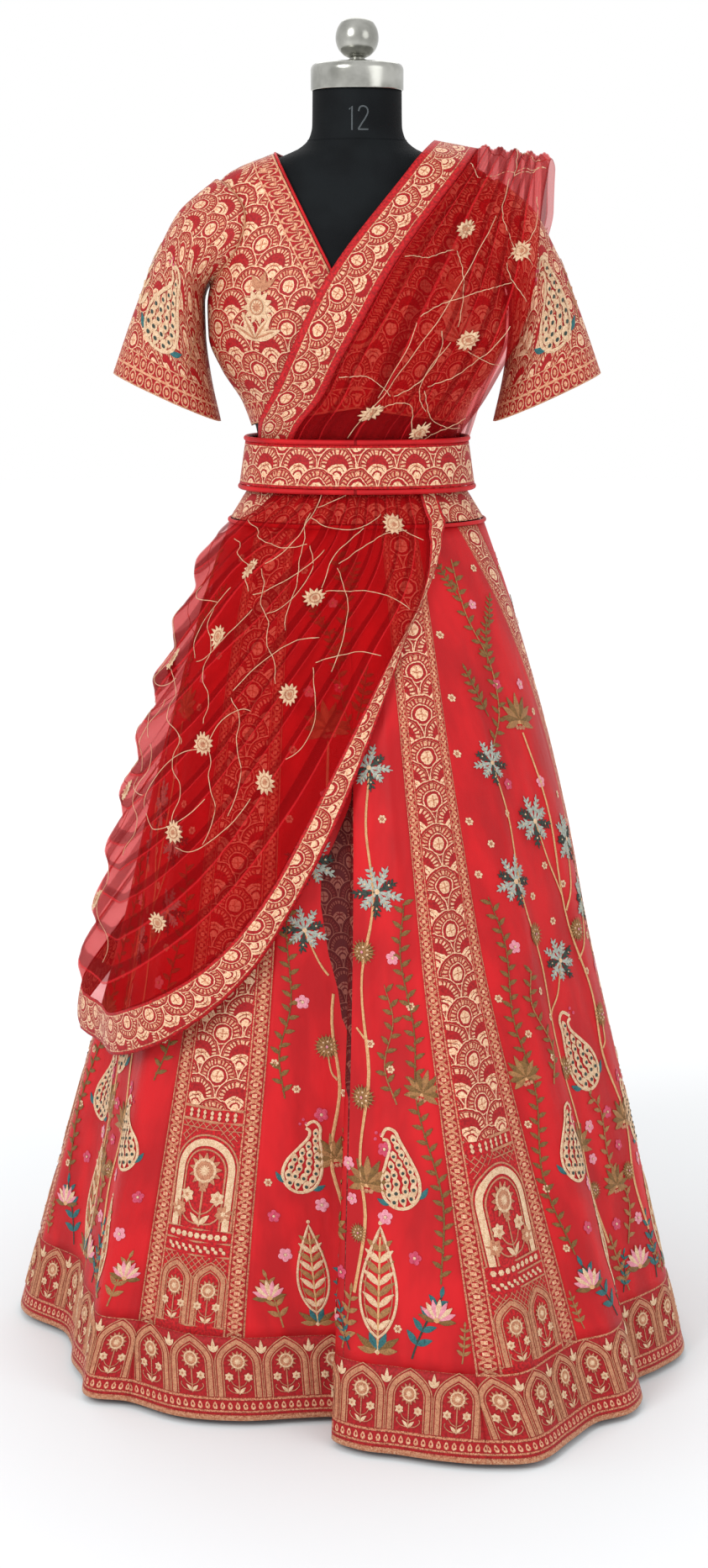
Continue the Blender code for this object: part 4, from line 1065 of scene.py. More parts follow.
def tube(name: str, path: Array, radius: float, material: Material, sides: int = 8,
         closed: bool = False, up: Array | None = None, flatten: float = 1.0) -> Piece:
    """A round or flattened cord along a path.

    Args:
        name: the piece's name.
        path: points along its middle.
        radius: half its width.
        material: its material.
        sides: how many sides the round has.
        closed: whether the path is a loop.
        up: direction at each point in which flatten squeezes it.
        flatten: height as a share of width.

    Returns:
        The object.
    """
    along = headings(path, closed)
    rise = np.array([[0.0, 0.0, 1.0]]) if up is None else up
    side = unit(np.cross(along, rise))
    lift = unit(np.cross(side, along))
    turn = np.arange(sides) * 2 * math.pi / sides
    ring = radius * (np.cos(turn)[None, :, None] * side[:, None]
                     + flatten * np.sin(turn)[None, :, None] * lift[:, None])
    points = (path[:, None] + ring).reshape(-1, 3)
    count = len(path)
    faces: list[tuple[int, ...]] = []
    for i in range(count if closed else count - 1):
        j = (i + 1) % count
        faces += [(i * sides + k, j * sides + k, j * sides + (k + 1) % sides,
                   i * sides + (k + 1) % sides) for k in range(sides)]
    if not closed:
        faces += [tuple(range(sides)), tuple(reversed(range((count - 1) * sides, count * sides)))]
    along_length = lengths_along(path)
    layer = beside(np.repeat(along_length, sides), np.tile(turn * radius, count))
    return mesh_piece(name, points, faces, [material], {"cloth": layer, "edges": layer})


def lathe(name: str, profile: Sequence[tuple[float, float]], sides: int,
          material: Material) -> Piece:
    """Solid turned about Z from (radius, height) points; a radius of 0 closes an end."""
    points: list[tuple[float, float, float]] = []
    rings: list[list[int]] = []
    for radius, z in profile:
        count = sides if radius > 0 else 1
        rings.append(list(range(len(points), len(points) + count)))
        points += [(radius * math.cos(2 * math.pi * k / sides),
                    radius * math.sin(2 * math.pi * k / sides), z) for k in range(count)]
    faces = []
    for low, high in zip(rings, rings[1:]):
        for k in range(max(len(low), len(high))):
            corner = (low[k % len(low)], low[(k + 1) % len(low)], high[(k + 1) % len(high)],
                      high[k % len(high)])
            faces.append(tuple(dict.fromkeys(corner)))
    return mesh_piece(name, np.array(points), faces, [material])


def rounded(profile: Sequence[tuple[float, float]], count: int) -> list[tuple[float, float]]:
    """A profile with its middle smoothed to count points; both ends stay on the axis."""
    middle = spline(profile[1:-1], count)
    return [profile[0], *map(tuple, middle), profile[-1]]


# Embroidery drawn flat in cloth metres


@dataclass
class Hoop:
    """A drawing frame; what is stitched in it is turned, sized and placed on the cloth.

    The lists are shared by every frame made from the first one.
    """

    points: list[Array] = field(default_factory=list)
    faces: list[tuple[int, ...]] = field(default_factory=list)
    threads: list[Thread] = field(default_factory=list)
    origin: tuple[float, float] = (0.0, 0.0)
    turn: float = 0.0
    size: float = 1.0
    flip: bool = False

    def at(self, x: float, y: float, turn: float = 0.0, size: float = 1.0,
           flip: bool = False) -> Hoop:
        """A frame inside this one.

        Args:
            x: across this frame.
            y: up this frame.
            turn: degrees, leftward.
            size: scale.
            flip: whether x is mirrored.

        Returns:
            The new frame, which shares this one's stitches.
        """
        (origin,) = self.out(np.array([[x, y]]))
        inner = -turn if self.flip else turn
        return Hoop(self.points, self.faces, self.threads, tuple(origin), self.turn + inner,
                    self.size * size, self.flip != flip)

    def out(self, path: Array) -> Array:
        """Points of this frame in cloth metres."""
        p = np.asarray(path, float) * self.size
        x = -p[:, 0] if self.flip else p[:, 0]
        a = math.radians(self.turn)
        return beside(self.origin[0] + x * math.cos(a) - p[:, 1] * math.sin(a),
                      self.origin[1] + x * math.sin(a) + p[:, 1] * math.cos(a))

    def ribbon(self, path: Array, width: float | Array, thread: Thread, lift: float = 0.0005,
               crown: float = 0.0007, closed: bool = False) -> None:
        """Stitch a raised ribbon along a path.

        Args:
            path: points of its middle, in this frame.
            width: its width, or one for each point.
            thread: its thread.
            lift: height of its edges.
            crown: how much higher its middle is.
            closed: whether the path is a loop.
        """
        p = self.out(path)
        along = headings(p, closed)
        left = beside(-along[:, 1], along[:, 0])
        half = (np.asarray(width, float) * self.size / 2 * np.ones(len(p)))[:, None]
        low, high = np.full(len(p), lift), np.full(len(p), lift + crown)
        rows = np.stack([np.column_stack([p + left * half, low]), np.column_stack([p, high]),
                         np.column_stack([p - left * half, low])], axis=1)
        first = sum(len(q) for q in self.points)
        self.points.append(rows.reshape(-1, 3))
        count = len(p)
        for i in range(count if closed else count - 1):
            a, b = first + 3 * i, first + 3 * ((i + 1) % count)
            self.faces += [(a, a + 1, b + 1, b), (a + 1, a + 2, b + 2, b + 1)]
            self.threads += [thread, thread]

    def leaf(self, x: float, y: float, turn: float, length: float, width: float, thread: Thread,
             bend: float = 0.0, crown: float = 0.0009, lift: float = 0.0005) -> None:
        """Stitch a leaf or petal from its base, turned leftward from straight up."""
        t = np.linspace(0, 1, 6)
        a = math.radians(turn + 90)
        side = bend * length * t * t
        path = beside(x + math.cos(a) * length * t - math.sin(a) * side,
                      y + math.sin(a) * length * t + math.cos(a) * side)
        shape = width * (0.08 + 0.92 * np.sin(math.pi * np.clip(t, 0.02, 0.98)**0.85))
        self.ribbon(path, shape, thread, lift, crown)

    def disc(self, x: float, y: float, radius: float, thread: Thread, crown: float = 0.0010,
             lift: float = 0.0006, sides: int = 10) -> None:
        """Stitch a domed dot."""
        a = np.arange(sides) * 2 * math.pi / sides
        ring = self.out(beside(x + radius * np.cos(a), y + radius * np.sin(a)))
        first = sum(len(q) for q in self.points)
        (middle,) = self.out(np.array([[x, y]]))
        self.points.append(np.vstack([np.column_stack([ring, np.full(sides, lift)]),
                                      [[middle[0], middle[1], lift + crown]]]))
        for k in range(sides):
            face = (first + k, first + (k + 1) % sides, first + sides)
            self.faces.append(face[::-1] if self.flip else face)
            self.threads.append(thread)

    def dots(self, turns: Sequence[float], away: float, radius: float, thread: Thread,
             crown: float = 0.0010, lift: float = 0.0006, sides: int = 10) -> None:
        """Stitch a dot at each of these turns round the middle."""
        for turn in turns:
            a = math.radians(turn)
            self.disc(away * math.cos(a), away * math.sin(a), radius, thread, crown, lift, sides)

    def ring(self, x: float, y: float, radius: float, width: float, thread: Thread,
             sides: int = 14, lift: float = 0.0006) -> None:
        """Stitch a ring."""
        a = np.arange(sides) * 2 * math.pi / sides
        path = beside(x + radius * np.cos(a), y + radius * np.sin(a))
        self.ribbon(path, width, thread, lift, closed=True)

    def laid(self, place: Placer) -> Stitches:
        """These stitches on a cloth; place gives points from metres across, up and off it."""
        flat = np.vstack(self.points)
        return Stitches([place(flat[:, 0], flat[:, 1], flat[:, 2])], list(self.faces),
                        list(self.threads))


@dataclass
class Stitches:
    """Stitches in space, gathered into one piece."""

    points: list[Array] = field(default_factory=list)
    faces: list[tuple[int, ...]] = field(default_factory=list)
    threads: list[Thread] = field(default_factory=list)

    def add(self, other: Stitches) -> None:
        """Take in more stitches."""
        first = sum(len(p) for p in self.points)
        self.points += other.points
        self.faces += [tuple(i + first for i in face) for face in other.faces]
        self.threads += other.threads

    def build(self, name: str, wardrobe: Wardrobe) -> Piece:
        """Make the mesh, with one material slot for each thread."""
        used = sorted(set(self.threads), key=lambda thread: thread.name)
        slots = [used.index(thread) for thread in self.threads]
        return mesh_piece(name, np.vstack(self.points), self.faces,
                          [wardrobe[thread] for thread in used], None, slots)


# Motifs of this garment, each upright from its frame's origin and one unit high or in radius


def rosette(hoop: Hoop, petals: int, petal: Thread, heart: Thread) -> None:
    """Round flower of many petals."""
    for k in range(petals):
        hoop.leaf(0, 0, 360 * k / petals, 1.0, 5.0 / petals, petal, 0, 0.0012, 0.0006)
    hoop.disc(0, 0, 0.36, heart, 0.0014, 0.0012)


def buti(hoop: Hoop) -> None:
    """Small scattered flower of six dots round one."""
    hoop.dots(range(0, 360, 60), 0.66, 0.36, Thread.CREAM, 0.0008, 0.0005, 6)
    hoop.disc(0, 0, 0.28, Thread.GOLD, 0.0008, 0.0006, 6)


def star_spray(hoop: Hoop) -> None:
    """Star of nine serrated leaves, in silver and spruce."""
    for k in range(9):
        turn, long = 40 * k + 12, 1.08 - 0.18 * (k % 2)
        thread = Thread.SPRUCE if k in (1, 4, 6) else Thread.SILVER
        arm = hoop.at(0, 0, turn)
        arm.leaf(0, 0, 0, long, 0.17, thread, 0.06)
        for share in (0.34, 0.54, 0.74):
            for side in (-46, 46):
                arm.leaf(0, long * share, side, 0.36 - 0.20 * share, 0.12, thread, 0, 0.0012, 0.0007)
        hoop.dots([turn + 90], long * 0.60, 0.05, Thread.CREAM, 0.0008, 0.0014, 5)
    hoop.disc(0, 0, 0.11, Thread.CREAM, 0.0014, 0.0014, 8)


def fan_bloom(hoop: Hoop) -> None:
    """Open fan of long petals in bronze and olive, over hanging buds."""
    for k in range(9):
        thread = Thread.OLIVE if k % 2 else Thread.BRONZE
        hoop.leaf(0, 0, 28 * k - 112, 1.0 - 0.05 * abs(k - 4), 0.30, thread, 0.0, 0.0012)
    for x in (-0.16, 0, 0.16):
        hoop.disc(x, -0.28, 0.09, Thread.GOLD, 0.001, 0.0006, 6)
    hoop.disc(0, 0, 0.16, Thread.TAN)


def pompom(hoop: Hoop) -> None:
    """Round head of short rays with bright beads."""
    hoop.disc(0, 0, 0.80, Thread.OLIVE, 0.0016, 0.0005, 12)
    for turn in range(0, 360, 20):
        hoop.leaf(0, 0, turn, 1.0, 0.16, Thread.BRONZE, 0, 0.0008, 0.0012)
    hoop.dots(np.arange(7) * 51.4, 0.42, 0.09, Thread.CREAM, 0.0008, 0.0022, 5)
    hoop.disc(0, 0, 0.12, Thread.PINK, 0.0008, 0.0024, 6)


def posy(hoop: Hoop, thread: Thread = Thread.PINK) -> None:
    """Five-petalled flower."""
    hoop.dots(range(90, 450, 72), 0.58, 0.42, thread, 0.0010, 0.0006, 8)
    hoop.disc(0, 0, 0.22, Thread.CREAM, 0.0012, 0.0012, 6)


def sprig(hoop: Hoop, pairs: int, leaf: Thread, stem: Thread = Thread.OLIVE,
          bend: float = 0.12) -> None:
    """Stem with pairs of leaves and one at the tip."""
    t = np.linspace(0, 1, 8)
    hoop.ribbon(beside(bend * t * t, t), 0.020 + 0.0008 / hoop.size, stem)
    for k in range(pairs):
        share = (k + 1) / (pairs + 0.6)
        size = 0.27 - 0.10 * share
        for side in (-1, 1):
            hoop.leaf(bend * share**2, share, side * 48, size, size * 0.42, leaf, side * 0.10)
    hoop.leaf(bend, 1.0, -8, 0.17, 0.07, leaf)


def paisley(hoop: Hoop) -> None:
    """Slender drop with a curled tip, filled with small drops that have dark hearts."""
    outline = spline([(0.10, 0.90), (0.01, 0.985), (-0.09, 0.93), (-0.12, 0.79), (-0.20, 0.56),
                      (-0.25, 0.32), (-0.20, 0.11), (-0.04, 0.00), (0.13, 0.03), (0.24, 0.17),
                      (0.23, 0.38), (0.12, 0.58), (0.03, 0.74), (0.03, 0.84), (0.09, 0.87)], 44)
    hoop.ribbon(outline, 0.040, Thread.CREAM, 0.0006, 0.0011)
    for y, xs in ((0.10, (-0.10, 0.02, 0.13)), (0.20, (-0.16, -0.04, 0.08, 0.17)),
                  (0.31, (-0.18, -0.07, 0.05, 0.16)), (0.42, (-0.17, -0.06, 0.05, 0.14)),
                  (0.53, (-0.14, -0.04, 0.06)), (0.64, (-0.10, 0.0)), (0.74, (-0.07,)),
                  (0.84, (-0.05,))):
        for x in xs:
            drop = hoop.at(x, y, 180 - 20 * x, 0.155 - 0.05 * y)
            drop.leaf(0, -0.55, 0, 1.1, 0.66, Thread.CREAM, 0, 0.0010, 0.0007)
            drop.disc(0, 0.02, 0.17, Thread.SPRUCE, 0.0006, 0.0019, 6)
    for side in (-1, 1):
        hoop.leaf(side * 0.20, 0.08, side * -62, 0.17, 0.07, Thread.TEAL, side * 0.2)
    for x, y in ((0.10, 0.93), (0.15, 0.97), (0.18, 0.90)):
        hoop.disc(x, y, 0.022, Thread.ROSE, 0.001, 0.0006, 6)


def cypress(hoop: Hoop) -> None:
    """Tall tree: an almond outline filled with pairs of leaves, on a leafy foot."""
    t = np.linspace(0, 1, 20)
    wide = 0.150 * np.sin(math.pi * t**0.72)
    right = beside(wide, 0.13 + 0.87 * t)
    rim = np.vstack([right, right[-2:0:-1] * (-1, 1)])
    hoop.ribbon(rim, 0.022, Thread.CREAM, 0.0006, 0.0010, closed=True)
    inner = rim * (0.752, 0.94) + (0, 0.030)
    hoop.ribbon(inner, 0.008, Thread.GOLD, 0.0006, 0.0006, closed=True)
    hoop.ribbon([(0, 0), (0, 0.5), (0, 0.92)], 0.018, Thread.TAN)
    for k in range(8):
        y, thread = 0.19 + 0.088 * k, (Thread.CREAM, Thread.BRONZE)[k % 2]
        size = 0.10 + 0.50 * float(np.interp(y, right[:, 1], wide))
        for side in (-1, 1):
            hoop.leaf(0, y, side * 42, size, 0.052, thread, side * 0.10)
    for side in (-1, 1):
        for turn, size, thread in ((66, 0.20, Thread.OLIVE), (96, 0.16, Thread.BRONZE),
                                   (34, 0.15, Thread.TEAL)):
            hoop.leaf(0, 0.035, side * turn, size, 0.060, thread, side * -0.14)
    for y, radius in ((0.035, 0.030), (1.03, 0.018)):
        hoop.disc(0, y, radius, Thread.CREAM)


def lotus(hoop: Hoop) -> None:
    """Open lotus on its side leaves."""
    for turn, thread in ((84, Thread.OLIVE), (-84, Thread.OLIVE), (60, Thread.PINK),
                         (-60, Thread.PINK), (40, Thread.CREAM), (-40, Thread.CREAM),
                         (20, Thread.PINK), (-20, Thread.PINK), (0, Thread.CREAM)):
        lift = 0.0006 + 0.00001 * (84 - abs(turn))
        hoop.leaf(0, 0, turn, 1.0 - 0.12 * abs(turn) / 84, 0.34, thread, 0.0, 0.0012, lift)
    hoop.disc(0, 0.08, 0.17, Thread.TAN, 0.0012, 0.0016, 8)


def vine(hoop: Hoop, path: Array, width: float, leaf: Thread, pitch: float, size: float) -> None:
    """Leaves by turns along a stem."""
    run = lengths_along(path)
    along = headings(path)
    for number, at in enumerate(np.arange(pitch, run[-1], pitch)):
        x, y = np.interp(at, run, path[:, 0]), np.interp(at, run, path[:, 1])
        dx, dy = np.interp(at, run, along[:, 0]), np.interp(at, run, along[:, 1])
        side = 1 if number % 2 else -1
        heading = math.degrees(math.atan2(dy, dx)) - 90
        hoop.leaf(x, y, heading + side * 52, size, size * 0.42, leaf, side * 0.12)
        if number % 3 == 0:
            hoop.disc(x, y, width * 0.9, leaf, 0.0010, 0.0010, 6)


def arch_path(width: float, low: float, high: float, pointed: bool, count: int = 26) -> Array:
    """Outline of a niche, up one side, over and down the other."""
    spring = high - width * (0.62 if pointed else 0.52)
    t = np.linspace(0, 1, count // 2)
    if pointed:
        x, y = width / 2 * (1 - t**1.9), spring + (high - spring) * t**0.80
    else:
        x, y = width / 2 * np.cos(t * math.pi / 2), spring + (high - spring) * np.sin(t * math.pi / 2)
    right = np.vstack([[(width / 2, low)], beside(x, y)])
    left = right[:-1] * np.array([-1, 1])
    return np.vstack([left, right[::-1]])


def niche(hoop: Hoop, width: float, low: float, high: float, pointed: bool, band: float) -> None:
    """Arch of a thick stitched band between two thin lines."""
    hoop.ribbon(arch_path(width, low, high, pointed), band * 0.16, Thread.GOLD)
    hoop.ribbon(arch_path(width - band * 1.05, low, high - band * 0.62, pointed), band * 0.62,
                Thread.CREAM if not pointed else Thread.GOLD, 0.0005, 0.0010)
    hoop.ribbon(arch_path(width - band * 2.1, low, high - band * 1.25, pointed), band * 0.16,
                Thread.GOLD)


def plant(hoop: Hoop, rich: bool = False) -> None:
    """Flowering plant of a niche: a round head over two rosettes and curved leaves."""
    hoop.ribbon([(0, 0), (0, 0.62)], 0.028, Thread.GOLD)
    rosette(hoop.at(0, 0.76, 0, 0.24), 13, Thread.GOLD, Thread.CREAM)
    hoop.ring(0, 0.76, 0.15, 0.04, Thread.CREAM, 12, 0.0014)
    for side in (-1, 1):
        stem = spline([(0, 0.16), (side * 0.12, 0.22), (side * 0.20, 0.34)], 6)
        hoop.ribbon(stem, 0.020, Thread.GOLD)
        rosette(hoop.at(side * 0.22, 0.40, 0, 0.105), 6, Thread.CREAM, Thread.GOLD)
        curl = spline([(0, 0.03), (side * 0.16, 0.05), (side * 0.27, 0.15), (side * 0.25, 0.22)], 7)
        hoop.ribbon(curl, 0.022, Thread.GOLD)
        hoop.leaf(0, 0.02, side * 38, 0.20, 0.075, Thread.CREAM, side * 0.1)
        if rich:
            rosette(hoop.at(side * 0.33, 0.20, side * -14, 0.12), 6, Thread.GOLD, Thread.CREAM)
            hoop.leaf(side * 0.05, 0.48, side * 52, 0.14, 0.06, Thread.GOLD)


def lattice(hoop: Hoop, half: float, low: float, high: float, pitch: float,
            open_at: Callable[[float, float], bool]) -> None:
    """Crossed diagonal threads in a field, left out where a niche is."""
    tall = high - low
    for lean in (-1, 1):
        for start in np.arange(-half - tall, half + tall, pitch):
            t = np.linspace(0, 1, 14)
            x, y = start + lean * tall * (t - 0.5), low + tall * t
            good = (np.abs(x) < half) & np.array([open_at(a, b) for a, b in zip(x, y)])
            for i in range(len(t) - 1):
                if good[i] and good[i + 1]:
                    cross = [(x[i], y[i]), (x[i + 1], y[i + 1])]
                    hoop.ribbon(cross, 0.0009, Thread.GOLD, 0.0004, 0.0003)


# Sizes of the solids' pieces

CAP = [(0.0, 1.4783), (0.0515, 1.4783), (0.0524, 1.4790), (0.0525, 1.4800), (0.0525, 1.4990),
       (0.0525, 1.5010), (0.0520, 1.5034), (0.0505, 1.5060), (0.0480, 1.5077), (0.0450, 1.5085),
       (0.0440, 1.5086), (0.0, 1.5090)]
FINIAL = [(0.0, 1.5093), (0.0130, 1.5093), (0.0130, 1.5115), (0.0085, 1.5135), (0.0150, 1.5170),
          (0.0210, 1.5235), (0.0240, 1.5320), (0.0240, 1.5400), (0.0215, 1.5480),
          (0.0160, 1.5550), (0.0080, 1.5585), (0.0, 1.5592)]
POLE = [(0.0, 0.0263), (0.0125, 0.0263), (0.0125, 0.8997), (0.0, 0.8997)]
BASE = [(0.0, 0.0), (0.1490, 0.0), (0.1500, 0.0010), (0.1500, 0.0060), (0.1490, 0.0072),
        (0.1420, 0.0110), (0.0300, 0.0160), (0.0220, 0.0200), (0.0220, 0.0260), (0.0, 0.0260)]


def creased(rows: Array, u: Array, v: Array) -> Array:
    """Height of soft ridges and troughs.

    Args:
        rows: for each, where it starts (u, v) and ends (u, v), its half width and height.
        u: metres across.
        v: metres along.

    Returns:
        The sum of their heights.
    """
    total = np.zeros(np.broadcast(u, v).shape)
    for u0, v0, u1, v1, half, height in rows:
        du, dv = u1 - u0, v1 - v0
        share = np.clip(((u - u0) * du + (v - v0) * dv) / (du * du + dv * dv), 0, 1)
        away = np.hypot(u - u0 - share * du, v - v0 - share * dv)
        total = total + height * np.exp(-(away / half)**2) * (0.25 + 0.75 * np.sin(math.pi * share))
    return total


def edge_field(points: Array, lines: Sequence[Array]) -> Array:
    """For each point, how far the nearest line is, and how far along that line."""
    flat = points.reshape(-1, 3)
    best = np.full(len(flat), np.inf)
    along = np.zeros(len(flat))
    for line in lines:
        run = lengths_along(line)
        away = np.linalg.norm(flat[:, None] - line[None], axis=2)
        near = away.argmin(axis=1)
        distance = away[np.arange(len(flat)), near]
        closer = distance < best
        best[closer], along[closer] = distance[closer], run[near[closer]]
    return beside(best, along).reshape(*points.shape[:-1], 2)


@dataclass
class Spot:
    """A place on a surface: flat metres about it become points, true to size there."""

    surface: Surface
    u: float
    v: float
    du: float
    dv: float
    off: float
    side: float = 1.0

    def __post_init__(self) -> None:
        """Measure how far apart points are across and along the cloth."""
        u, v = np.array([self.u]), np.array([self.v])
        wide = self.surface(u + self.du, v) - self.surface(u - self.du, v)
        tall = self.surface(u, v + self.dv) - self.surface(u, v - self.dv)
        self.wide = np.linalg.norm(wide) / (2 * self.du)
        self.tall = np.linalg.norm(tall) / (2 * self.dv)

    def coordinates(self, x: Array, y: Array) -> tuple[Array, Array]:
        """The surface's own coordinates of flat metres across and up."""
        return self.u + x / self.wide, self.v - y / self.tall

    def __call__(self, x: Array, y: Array, lift: Array) -> Array:
        """Points on the cloth, lifted off it."""
        u, v = self.coordinates(x, y)
        out = normals_of(self.surface, u, v, self.du * 0.05, self.dv * 0.05) * self.side
        return self.surface(u, v) + out * (self.off + lift)[..., None]


@dataclass
class Form:
    """Limbless dress form: jersey torso, steel cap and ball, pole and round base."""

    sides: int = 96
    seam_height: float = 1.4235
    seam_radius: float = 0.0006
    print_height: float = 0.026
    print_at: float = 1.4455

    def surface(self, phi: Array, z: Array) -> Array:
        """Point on the torso."""
        half, front, back, power = columns(TORSO, z)
        return polar(phi, ring_radius(phi, half, front, back, power), z)

    def normal(self, phi: Array, z: Array) -> Array:
        """Way out of the torso."""
        return normals_of(self.surface, phi, z, 0.05, 2e-4)

    def off(self, phi: Array, z: Array, rise: Array | float) -> Array:
        """Point at a distance off the torso."""
        phi, z = np.broadcast_arrays(np.asarray(phi, float), np.asarray(z, float))
        return self.surface(phi, z) + self.normal(phi, z) * (rise + 0 * z)[..., None]

    def angle_at(self, x: Array, z: Array, back: bool) -> Array:
        """Angle at which the torso's ring at height z is x to the side."""
        half, front, rear, power = columns(TORSO, z)
        share = np.clip(x / half, 0.0, 1.0)
        depth = np.where(back, rear, front) * (1 - share**power)**(1 / power)
        phi = np.degrees(np.arctan2(x, depth))
        return np.where(back, 180 - phi, phi)

    def size_print(self) -> Stitches:
        """The size number on the neck."""
        hoop = Hoop()
        tall = self.print_height
        one = [(-0.34 * tall, 0.36 * tall), (-0.22 * tall, 0.5 * tall), (-0.22 * tall, -0.5 * tall)]
        two = spline([(0.06, 0.28), (0.12, 0.45), (0.27, 0.50), (0.42, 0.42), (0.46, 0.24),
                      (0.36, 0.02), (0.20, -0.22), (0.05, -0.46)], 26) * tall
        foot = np.array([(0.04, -0.47), (0.48, -0.47)]) * tall
        for stroke in (one, two, foot):
            hoop.ribbon(stroke, 0.0017, Thread.PRINT, 0.0003, 0.0002)

        def place(x: Array, y: Array, lift: Array) -> Array:
            """Wrap the number round the neck."""
            return self.off(np.degrees(x / 0.050), self.print_at + y, lift)
        return hoop.laid(place)

    def build(self, wardrobe: Wardrobe) -> None:
        """Build the form's pieces."""
        phi = np.linspace(0, 360, self.sides, endpoint=False)
        heights = np.concatenate([[TORSO[0, 0]], np.linspace(TORSO[1, 0], TORSO[-1, 0], 170)])
        z, around = np.meshgrid(heights, phi, indexing="ij")
        points = self.surface(around, z).reshape(-1, 3)
        faces: list[tuple[int, ...]] = list(grid_faces(len(heights), self.sides, closed=True))
        faces.append(tuple(reversed(range(self.sides))))
        faces.append(tuple(range(len(points) - self.sides, len(points))))
        cover = wardrobe[JERSEY]
        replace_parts(mesh_piece("jersey_torso", points, faces, [cover]), "form_torso")
        seam = self.surface(phi, np.full(self.sides, self.seam_height))
        tube("torso_neck_seam", seam, self.seam_radius, cover, 6, closed=True)
        self.size_print().build("torso_size_print", wardrobe)
        for name, node, profile, sides, finish in (
                ("steel_neck_cap", "form_neck_cap", CAP, 96, STEEL),
                ("steel_ball", "form_finial", rounded(FINIAL, 44), 64, STEEL),
                ("steel_pole", "form_pole", POLE, 32, POLE_STEEL),
                ("round_base", "form_base", BASE, 96, BASE_PAINT)):
            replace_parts(lathe(name, profile, sides, wardrobe[finish]), node)
        LOG.info("form built")


# Creases: across and along where each starts, the same where it ends, half width, height
FRONT_CREASES = (
    (0.095, 1.112, 0.085, 1.185, 0.010, 0.0012), (0.150, 1.115, 0.205, 1.175, 0.009, -0.0010),
    (0.120, 1.250, 0.165, 1.285, 0.008, 0.0013), (0.130, 1.228, 0.195, 1.246, 0.009, -0.0010),
    (0.055, 1.120, 0.045, 1.170, 0.008, -0.0009))
BACK_CREASES = (
    (0.150, 1.130, 0.215, 1.215, 0.010, 0.0011), (0.080, 1.120, 0.090, 1.210, 0.009, -0.0008),
    (0.170, 1.262, 0.205, 1.310, 0.008, 0.0009))
SLEEVE_CREASES = (
    (0.045, 0.03, 0.062, 0.22, 0.011, -0.0026), (0.100, 0.05, 0.128, 0.20, 0.013, 0.0022),
    (0.020, 0.02, 0.012, 0.12, 0.009, 0.0014), (0.150, 0.06, 0.165, 0.19, 0.010, -0.0018),
    (0.255, 0.04, 0.262, 0.20, 0.012, 0.0020), (0.320, 0.03, 0.310, 0.18, 0.011, -0.0020),
    (0.375, 0.05, 0.380, 0.16, 0.010, 0.0012))
SLEEVE_GIRTH = 0.42


